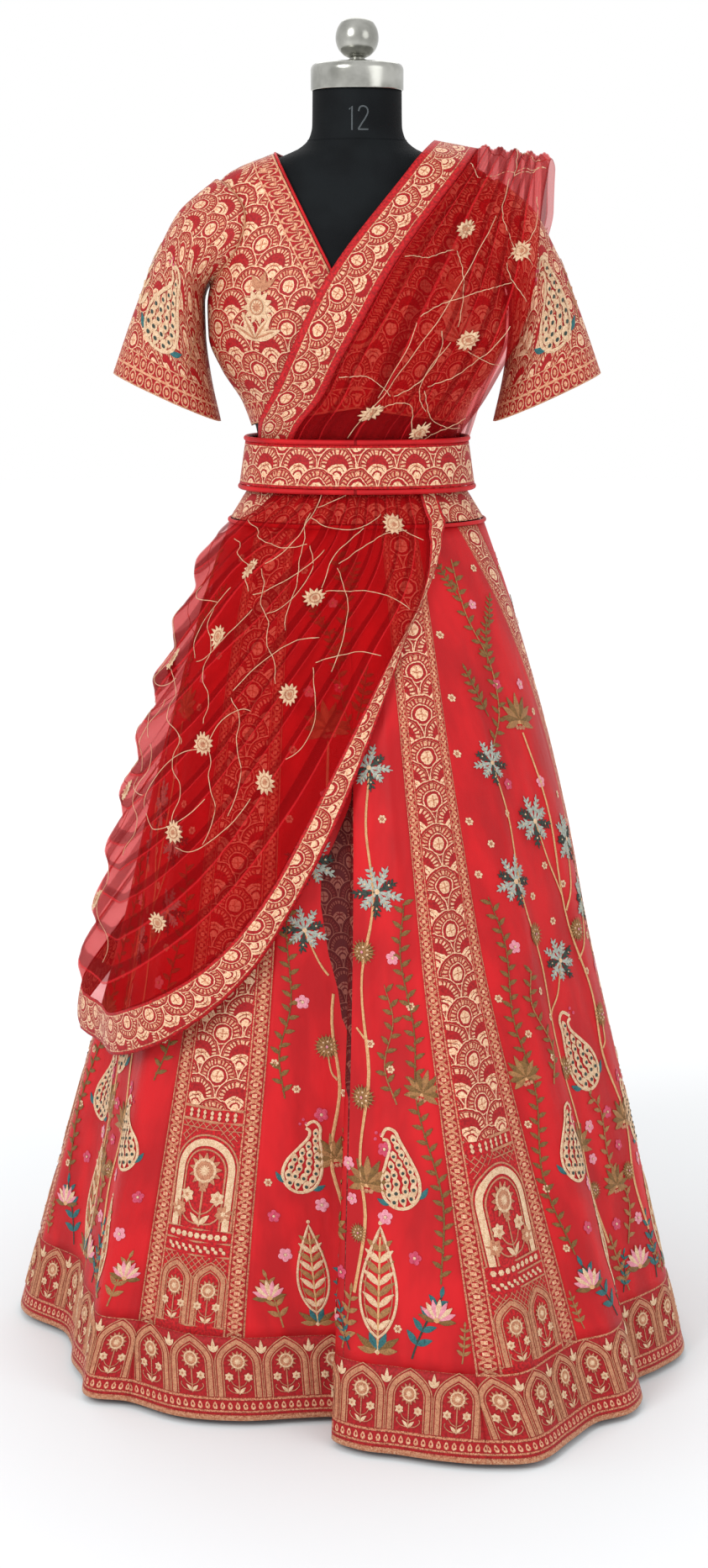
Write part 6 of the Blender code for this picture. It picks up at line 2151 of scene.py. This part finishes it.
@dataclass
class Arcade:
    """Arched niches with flowering plants: on the hem border and low on the gold panels."""

    pitch: float = 0.0517
    low: float = 0.0265
    high: float = 0.0940
    strip: float = 0.36
    leaf_pitch: float = 0.010

    def hem(self, panel: Panel) -> Stitches:
        """Stitch one length of hem border."""
        hoop = Hoop()
        width = 2 * float(panel.half(0.05))
        count = round(width / self.pitch)
        pitch = width / count
        for k in range(count):
            frame = hoop.at((k + 0.5) * pitch - width / 2, 0)
            niche(frame, pitch - 0.0020, self.low, self.high, True, 0.0085)
            plant(frame.at(0, self.low + 0.003, size=0.049))
            tuft = hoop.at(k * pitch - width / 2, 0.076)
            for turn, size in ((-38, 0.010), (0, 0.015), (38, 0.010)):
                if k:
                    tuft.leaf(0, 0, turn, size, 0.0045, Thread.CREAM)
        return hoop.laid(panel.place)

    def gold(self, panel: Panel) -> Stitches:
        """Stitch the foot of one gold panel."""
        hoop = Hoop()

        def field_half(y: float) -> float:
            """Half the width between the side strips."""
            return float(panel.half(y)) * (1 - self.strip)
        for y, width in RULES:
            reach = field_half(y)
            hoop.ribbon([(-reach, y), (0, y), (reach, y)], width, Thread.GOLD)
        for y, turns in LEAF_ROWS:
            reach = field_half(y)
            count = int(2 * reach / self.leaf_pitch)
            for x in np.linspace(-reach, reach, count + 2)[1:-1]:
                for turn in turns:
                    hoop.leaf(x, y, turn, 0.0055, 0.0042, Thread.CREAM)
        for x in np.linspace(-1, 1, 11)[1:-1] * field_half(0.205):
            hoop.disc(x, 0.2055, 0.0036, Thread.CREAM, 0.0010, 0.0005, 6)
        big = 2 * field_half(0.25)
        spring = 0.320 - big * 0.52

        def clear(x: float, y: float) -> bool:
            """Whether a point is outside the round arch."""
            return y > 0.322 or (y > spring and math.hypot(x / (big / 2), (y - spring)
                                                           / (0.324 - spring)) > 1.0)
        lattice(hoop, field_half(0.31) - 0.001, 0.2550, 0.3340, 0.0085, clear)
        niche(hoop, big - 0.002, 0.213, 0.320, False, 0.0130)
        plant(hoop.at(0, 0.216, size=0.084), rich=True)
        small = field_half(0.14)
        for side in (-1, 1):
            middle = side * small / 2
            frame = hoop.at(middle, 0)
            niche(frame, small - 0.001, 0.104, 0.177, True, 0.0085)
            plant(frame.at(0, 0.107, size=0.050))

        def above(x: float, y: float) -> bool:
            """Whether a point is above both pointed arches."""
            return y > 0.1795 - 0.026 * (abs(abs(x) - small / 2) / (small / 2))**0.7
        lattice(hoop, field_half(0.18) - 0.001, 0.1560, 0.1820, 0.0080, above)
        return hoop.laid(panel.place)


@dataclass
class SkirtMaker:
    """Cuts, sews and embroiders the skirt."""

    skirt: Skirt
    garden: Garden = field(default_factory=Garden)
    arcade: Arcade = field(default_factory=Arcade)
    # what the hem border leaves of a panel's width and takes of its length, and its slope
    kept_width: float = 0.955
    lost_length: float = 0.095
    border_slope: float = 1.065
    border_cut: float = 0.099

    def build(self, wardrobe: Wardrobe) -> None:
        """Build panels, border and embroidery."""
        lining, satin = wardrobe[LINING], wardrobe[Satin("kali_satin")]
        slip_satin = wardrobe[SlipShadeSatin("kali_slip_satin")]
        gold_cloth = wardrobe[GoldPanel("kali_zari", 0.3500, self.arcade.strip)]
        border = float(self.skirt.fall_at(self.skirt.border_top))
        starts = [i for i, row in enumerate(PLAN) if row[4]] + [len(PLAN)]
        for first, last in zip(starts, starts[1:]):
            node = PLAN[first][4]
            panel = Panel(self.skirt, node, PLAN_S[first], PLAN_S[last], 0.0, border)
            cloth = panel.cloth(f"{node}_cloth")
            look = gold_cloth if "gold" in node else slip_satin if node == SLIP_PANEL else satin
            wide = panel.widths[-1] * self.kept_width
            long = panel.heights[0] - panel.heights[-1] - self.lost_length
            flat = round(float(wide), 3), round(float(long), 3)
            sew(cloth, node, look, lining, flat, "waistband_cloth", cloth.area())
            if "gold" in node:
                work = self.arcade.gold(panel)
            else:
                work = self.garden.stitch(panel, int(node[-1]) % 2 == 0)
            work.build(f"{node}_embroidery", wardrobe)
        self.hem(wardrobe, border, lining)

    def hem(self, wardrobe: Wardrobe, border: float, lining: Material) -> None:
        """Build the hem border."""
        tall = (self.skirt.border_top - self.skirt.hem) * self.border_slope
        look = wardrobe[HemCloth("hem_zari", tall)]
        gold = [i for i, row in enumerate(PLAN) if "gold" in row[4]]
        ends = [float(PLAN_S[i]) for i in gold] + [float(PLAN_S[gold[0]]) + HEM_LENGTH]
        for number, (start, end) in enumerate(zip(ends, ends[1:]), 1):
            node = f"hem_border_{number}"
            panel = Panel(self.skirt, node, start, end, border, 1.0)
            cloth = panel.cloth(f"{node}_cloth", 0.006, 0.010)
            flat = round(float(panel.widths[-1]), 3), self.border_cut
            sew(cloth, node, look, lining, flat, f"kali_gold_{number}_cloth", cloth.area())
            self.arcade.hem(panel).build(f"{node}_embroidery", wardrobe)
        LOG.info("hem built")


# Rosettes of the net: how far across and at which row of SWAG or UPPER
SWAG_ROSETTES = ((0.800, 1.35), (0.275, 4.56), (0.594, 3.81), (0.369, 6.77), (0.731, 5.67),
                 (0.588, 7.92), (0.825, 6.97), (0.706, 9.18), (0.856, 10.13), (0.30, 9.40),
                 (0.55, 12.2), (0.80, 13.0), (0.35, 14.3), (0.65, 15.2), (0.45, 17.0))
UPPER_ROSETTES = ((0.369, 7.24), (0.850, 6.87), (0.681, 4.72), (0.356, 2.61), (0.725, 1.93),
                  (0.45, 12.0), (0.70, 13.5), (0.30, 14.6), (0.62, 15.8), (0.40, 17.1), (0.70, 18.6))


@dataclass
class Dupatta:
    """Net dupatta: a swag over the skirt and a length over the left shoulder."""

    skirt: Skirt
    fine_folds: float = 23.0
    fine_height: float = 0.0013
    cord: float = 0.00045
    tendril_length: float = 0.120
    piping: float = 0.0080
    back_width: float = 0.270
    # what the swag lies on: heights and degrees between samples, degrees that it bridges
    lowest: float = 0.36
    highest: float = 1.07
    turn_step: float = 4.0
    bridge: float = 9.0
    # above the skirt comes the piping, then the waistband
    skirt_top: float = 0.984
    band_low: float = 1.003
    piping_out: float = 0.0032

    def __post_init__(self) -> None:
        """Measure how far the skirt reaches, for the swag to lie on."""
        self.heights = np.linspace(self.lowest, self.highest, 143)
        phis = np.arange(-180.0, 181.0, self.turn_step)
        lap = np.arange(0.0, HEM_LENGTH, 0.004)
        rows = []
        for z in self.heights:
            if z > self.skirt_top:
                ring = np.array(self.skirt.waist_ring) + self.piping_out
                if z > self.band_low:
                    ring = table(WAISTBAND, z)
                rows.append(ring_radius(phis, *ring, RING_POWER) + SKIRT_WALL)
                continue
            fall = max(float(self.skirt.fall_at(z)), 0.0)
            phi, radius = self.skirt.polar_at(lap, np.full_like(lap, fall))
            away = np.abs((phis[:, None] - phi[None, :] + 180.0) % 360.0 - 180.0)
            rows.append(np.where(away < self.bridge, radius[None, :], 0.0).max(axis=1) + SKIRT_WALL)
        grid = np.array(rows)
        for _ in range(2):
            core = grid[:, :-1]
            core = (np.roll(core, 1, axis=1) + 2 * core + np.roll(core, -1, axis=1)) / 4
            grid = np.column_stack([core, core[:, :1]])
            grid[1:-1] = np.maximum(grid[1:-1], (grid[:-2] + 2 * grid[1:-1] + grid[2:]) / 4)
        self.reach = grid

    def outer_radius(self, phi: Array, z: Array) -> Array:
        """Radius just outside the skirt and waistband."""
        step = self.heights[1] - self.heights[0]
        y = np.clip((z - self.heights[0]) / step, 0, len(self.heights) - 1.001)
        return bilinear(self.reach, y, np.mod(phi + 180.0, 360.0) / self.turn_step, soft=True)

    def ripple(self, net: Array, row: Array, ends: tuple[float, float]) -> Array:
        """Fine pleats between the main ones, which fade at the belt."""
        drift = 1.4 * np.sin(row * 0.55) + 0.7 * np.sin(row * 1.3 + net * 5.0)
        fade = smooth(row, ends[0], ends[0] + 2.0) * (1 - smooth(row, ends[1] - 2.0, ends[1]))
        wave = 0.5 + 0.5 * np.sin(2 * math.pi * self.fine_folds * net + drift)
        return self.fine_height * wave * fade * np.clip(np.minimum(net, 1 - net) * 12, 0, 1)

    def swag(self, across: Array, row: Array) -> Array:
        """Point on the swag: across 0 at its top edge, 1 at the net's edge, 2 at the border's."""
        across, row = np.broadcast_arrays(np.asarray(across, float), np.asarray(row, float))
        tp, tz, n_phi, n_z, bp, bz = columns(indexed(SWAG), row)
        net = np.clip(across, 0, 1)
        edge = np.maximum(across - 1, 0)
        phi = tp + (n_phi - tp) * net + (bp - n_phi) * edge
        z = tz + (n_z - tz) * net + (bz - n_z) * edge
        fold, belly, clear = columns(SWAG_FOLD, row)
        height = fold * (0.5 - 0.5 * np.cos(2 * math.pi * SWAG_FOLDS * net))
        height = height + belly * np.sin(math.pi * np.clip(across / 2, 0, 1))**0.8
        height = height + self.ripple(net, row, (0.5, 18.5))
        clear = clear * (0.45 + 0.55 * net)
        return polar(phi, self.outer_radius(phi, z) + clear + height, z)

    def upper(self, across: Array, row: Array) -> Array:
        """Point on the shoulder length: across -1 at the border's edge, 0 at the net's, 1 far."""
        across, row = np.broadcast_arrays(np.asarray(across, float), np.asarray(row, float))

        def base(u: Array, v: Array) -> Array:
            """The cloth without its pleats."""
            bx, bz, nx, nz, fx, fz, forward = columns(indexed(UPPER), v)
            net, edge = np.maximum(u, 0), np.maximum(-u, 0)
            x = nx + (fx - nx) * net + (bx - nx) * edge
            z = nz + (fz - nz) * net + (bz - nz) * edge
            front, back, minus, plus, power = columns(UPPER_SHAPE, z)
            wide = np.where(x < 0, minus, np.where(forward > 0, plus, self.back_width))
            share = np.maximum(1 - np.abs(x / wide)**power, 0.01)**(1 / power)
            depth = np.where(forward > 0, front, back) * share
            return beside(x, -forward * depth, z)
        net = np.maximum(across, 0)
        pleat = table(UPPER_PLEAT, row)[..., 0] * (0.5 - 0.5 * np.cos(
            2 * math.pi * UPPER_PLEATS * net)) + self.ripple(net, row, (0.5, 20.5))
        return base(across, row) + normals_of(base, across, row, 1e-3, 1e-3) * pleat[..., None]

    def cloth(self, name: str, surface: Surface, acrosses: Array, rows: Array, side: float) -> Cloth:
        """Net or border from a surface; side is the way out of it."""
        row, across = np.meshgrid(rows, acrosses, indexing="ij")
        points = surface(across, row)
        normals = normals_of(surface, across, row, 1e-4, 1e-4) * side
        wide = lengths_along(points, 1)
        long = lengths_along(points)
        middle = long[:, [len(acrosses) // 2]] + 0 * long
        edge = np.minimum(wide, wide[:, -1:] - wide)
        if len(acrosses) > 40:
            edge = across
        layers = {"cloth": beside(wide - wide[:, -1:] / 2, middle),
                  "edges": beside(edge, middle)}
        return Cloth.grid(name, points, normals, layers, NET_WALL, side < 0)

    def embroidery(self, surface: Surface, rosettes: Sequence[tuple[float, float]],
                   side: float) -> Stitches:
        """Rosettes of a length of net."""
        work = Stitches()
        for number, (across, row) in enumerate(rosettes):
            hoop = Hoop()
            rosette(hoop.at(0, 0, 13 * number, 0.0125), 12, Thread.CREAM, Thread.GOLD)
            hoop.ring(0, 0, 0.0058, 0.0013, Thread.GOLD, 12, 0.0016)
            work.add(hoop.laid(Spot(surface, across, row, 0.02, 0.25, NET_WALL, side)))
        return work

    def tendrils(self, name: str, surface: Surface, rows: tuple[float, float, float], side: float,
                 thread: Material) -> None:
        """Corded tendrils of a length of net, in pairs that part from one point.

        Args:
            name: what the pieces' names start with.
            surface: the net.
            rows: first row, last row and step between tendrils.
            side: way out of the net.
            thread: the cord's material.
        """
        draw = random.Random(5)
        number = 0
        s = np.linspace(0, 1, 26)
        for k, row in enumerate(np.arange(*rows)):
            for across in (0.30 + 0.10 * (k % 2), 0.70 - 0.08 * (k % 3)):
                at = across + draw.uniform(-0.06, 0.06), row + draw.uniform(-0.3, 0.3)
                around = Spot(surface, *at, 0.03, 0.3, NET_WALL + 0.6 * self.cord, side)
                heading = draw.uniform(-60, 60)
                for turn in (heading, heading + draw.choice((-1, 1)) * draw.uniform(80, 130)):
                    long = self.tendril_length * draw.uniform(0.65, 1.2)
                    bend = draw.uniform(0.5, 1.3) * draw.choice((-1, 1))
                    a = math.radians(turn) + bend * s + 0.15 * np.sin(5 * s)
                    x, y = np.cumsum(np.cos(a)) * long / 26, np.cumsum(np.sin(a)) * long / 26
                    across_at, row_at = around.coordinates(x, y)
                    outside = ((np.abs(across_at - 0.5) > 0.46) | (row_at < rows[0] - 0.6)
                               | (row_at > rows[1] + 0.6))
                    keep = int(np.argmax(outside)) if outside.any() else len(s)
                    if keep > 6:
                        number += 1
                        path = around(x[:keep], y[:keep], np.zeros(keep))
                        tube(f"{name}_tendril_{number}", path, self.cord, thread, 5)

    def build(self, wardrobe: Wardrobe) -> None:
        """Build both lengths, their borders and their embroidery."""
        net = wardrobe[Net("dupatta_net", 13.0)]
        upper_net = wardrobe[Net("shoulder_net", 7.0)]
        border = wardrobe[ScaleCloth("swag_zari", 0.044, 0.0225, 0.011, 0.0035, turned=True)]
        upper_border = wardrobe[ScaleCloth("chest_zari", 0.044, 0.0200, 0.010, self.piping,
                                           turned=True)]
        thread = wardrobe[Thread.CREAM]
        rests = {"dupatta_swag": "kali_red_2_cloth", "dupatta_shoulder": "choli_front_cloth"}
        for node, surface, low, high, last, side, look, flat in (
                ("dupatta_swag", self.swag, 0.0, 1.0, 19.0, -1.0, net, (0.62, 1.76)),
                ("dupatta_swag_border", self.swag, 1.0, 2.0, 19.0, -1.0, border, (0.050, 1.90)),
                ("dupatta_shoulder", self.upper, 0.0, 1.0, 20.0, 1.0, upper_net, (0.24, 1.34)),
                ("dupatta_shoulder_border", self.upper, -1.0, 0.0, 20.0, 1.0, upper_border,
                 (0.056, 1.38))):
            is_border = "border" in node
            acrosses = np.linspace(low, high, 13 if is_border else 169)
            cloth = self.cloth(f"{node}_cloth", surface, acrosses, np.linspace(0, last, 190), side)
            area = min(cloth.area(), flat[0] * flat[1]) * 0.98
            sew(cloth, node, look, look, flat, rests[node.replace("_border", "")], area)
        self.embroidery(self.swag, SWAG_ROSETTES, -1.0).build("swag_rosettes", wardrobe)
        self.embroidery(self.upper, UPPER_ROSETTES, 1.0).build("shoulder_rosettes", wardrobe)
        self.tendrils("swag", self.swag, (1.2, 17.6, 1.35), -1.0, thread)
        self.tendrils("shoulder", self.upper, (1.2, 19.0, 1.9), 1.0, thread)
        LOG.info("dupatta built")


@dataclass
class Studio:
    """White floor with a painted shadow, grey near the middle and fading to white outwards, soft light
    and the camera.
    """

    # the photo's camera, from the ovals of belt, cap and hem
    camera_at: tuple[float, float, float] = (-0.0035, -3.0, 1.263)
    camera_tilt: float = 79.0
    lens: float = 58.96
    sky: float = 1.0
    floor: float = 14.0
    # painted shadow on the floor: grey within shade_reach of the middle, white from clear_from out
    shade_reach: float = 0.45
    clear_from: float = 2.4
    aim_height: float = 0.85
    # x, y, z, size, watts
    lamps: tuple[tuple[float, float, float, float, float], ...] = (
        (-2.4, -3.2, 3.2, 2.0, 85.0), (2.8, -2.6, 2.2, 2.4, 20.0), (0.0, 2.4, 3.4, 2.6, 20.0))

    def build(self) -> None:
        """Build floor, world, lamps and camera."""
        mesh = bpy.data.meshes.new("floor")
        corners = [(x * self.floor, y * self.floor, 0) for x, y in ((-1, -1), (1, -1), (1, 1), (-1, 1))]
        mesh.from_pydata(corners, [], [(0, 1, 2, 3)])
        board = Board("floor_white", Specular_IOR_Level=0.0)
        x, y = board.place()
        # painted shadow: the floor's colour goes from grey near the middle to white far out
        far = (x * x + y * y).sqrt().step(self.shade_reach, self.clear_from)
        mesh.materials.append(board.finish(board.mix(far, srgb("E5E9EB"), srgb("FFFFFF")), 0.9))
        shown("floor", mesh)
        world = bpy.data.worlds.new("studio")
        world.use_nodes = True
        background = world.node_tree.nodes["Background"]
        background.inputs["Color"].default_value = (1.0, 1.0, 1.0, 1.0)
        background.inputs["Strength"].default_value = self.sky
        bpy.context.scene.world = world
        for number, (x, y, z, size, watts) in enumerate(self.lamps, 1):
            lamp = bpy.data.lights.new(f"lamp_{number}", "AREA")
            lamp.shape, lamp.size, lamp.energy = "DISK", size, watts
            obj = shown(f"lamp_{number}", lamp)
            obj.location = (x, y, z)
            tilt = math.atan2(math.hypot(x, y), z - self.aim_height)
            obj.rotation_euler = (tilt, 0.0, math.atan2(x, -y))
        data = bpy.data.cameras.new("camera")
        data.lens, data.sensor_width, data.sensor_fit = self.lens, 36.0, "AUTO"
        camera = shown("camera", data)
        camera.location = self.camera_at
        camera.rotation_euler = (math.radians(self.camera_tilt), 0.0, 0.0)
        bpy.context.scene.camera = camera
        bpy.context.scene.view_settings.view_transform = "Standard"
        LOG.info("studio built")


def main() -> None:
    """Build every piece on the frame."""
    logging.basicConfig(level=logging.INFO, format="%(message)s")
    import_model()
    Studio().build()
    wardrobe = Wardrobe()
    form = Form()
    form.build(wardrobe)
    Choli(form).build(wardrobe)
    Waist().build(wardrobe)
    skirt = Skirt()
    SkirtMaker(skirt).build(wardrobe)
    Dupatta(skirt).build(wardrobe)


if __name__ == "__main__":
    main()
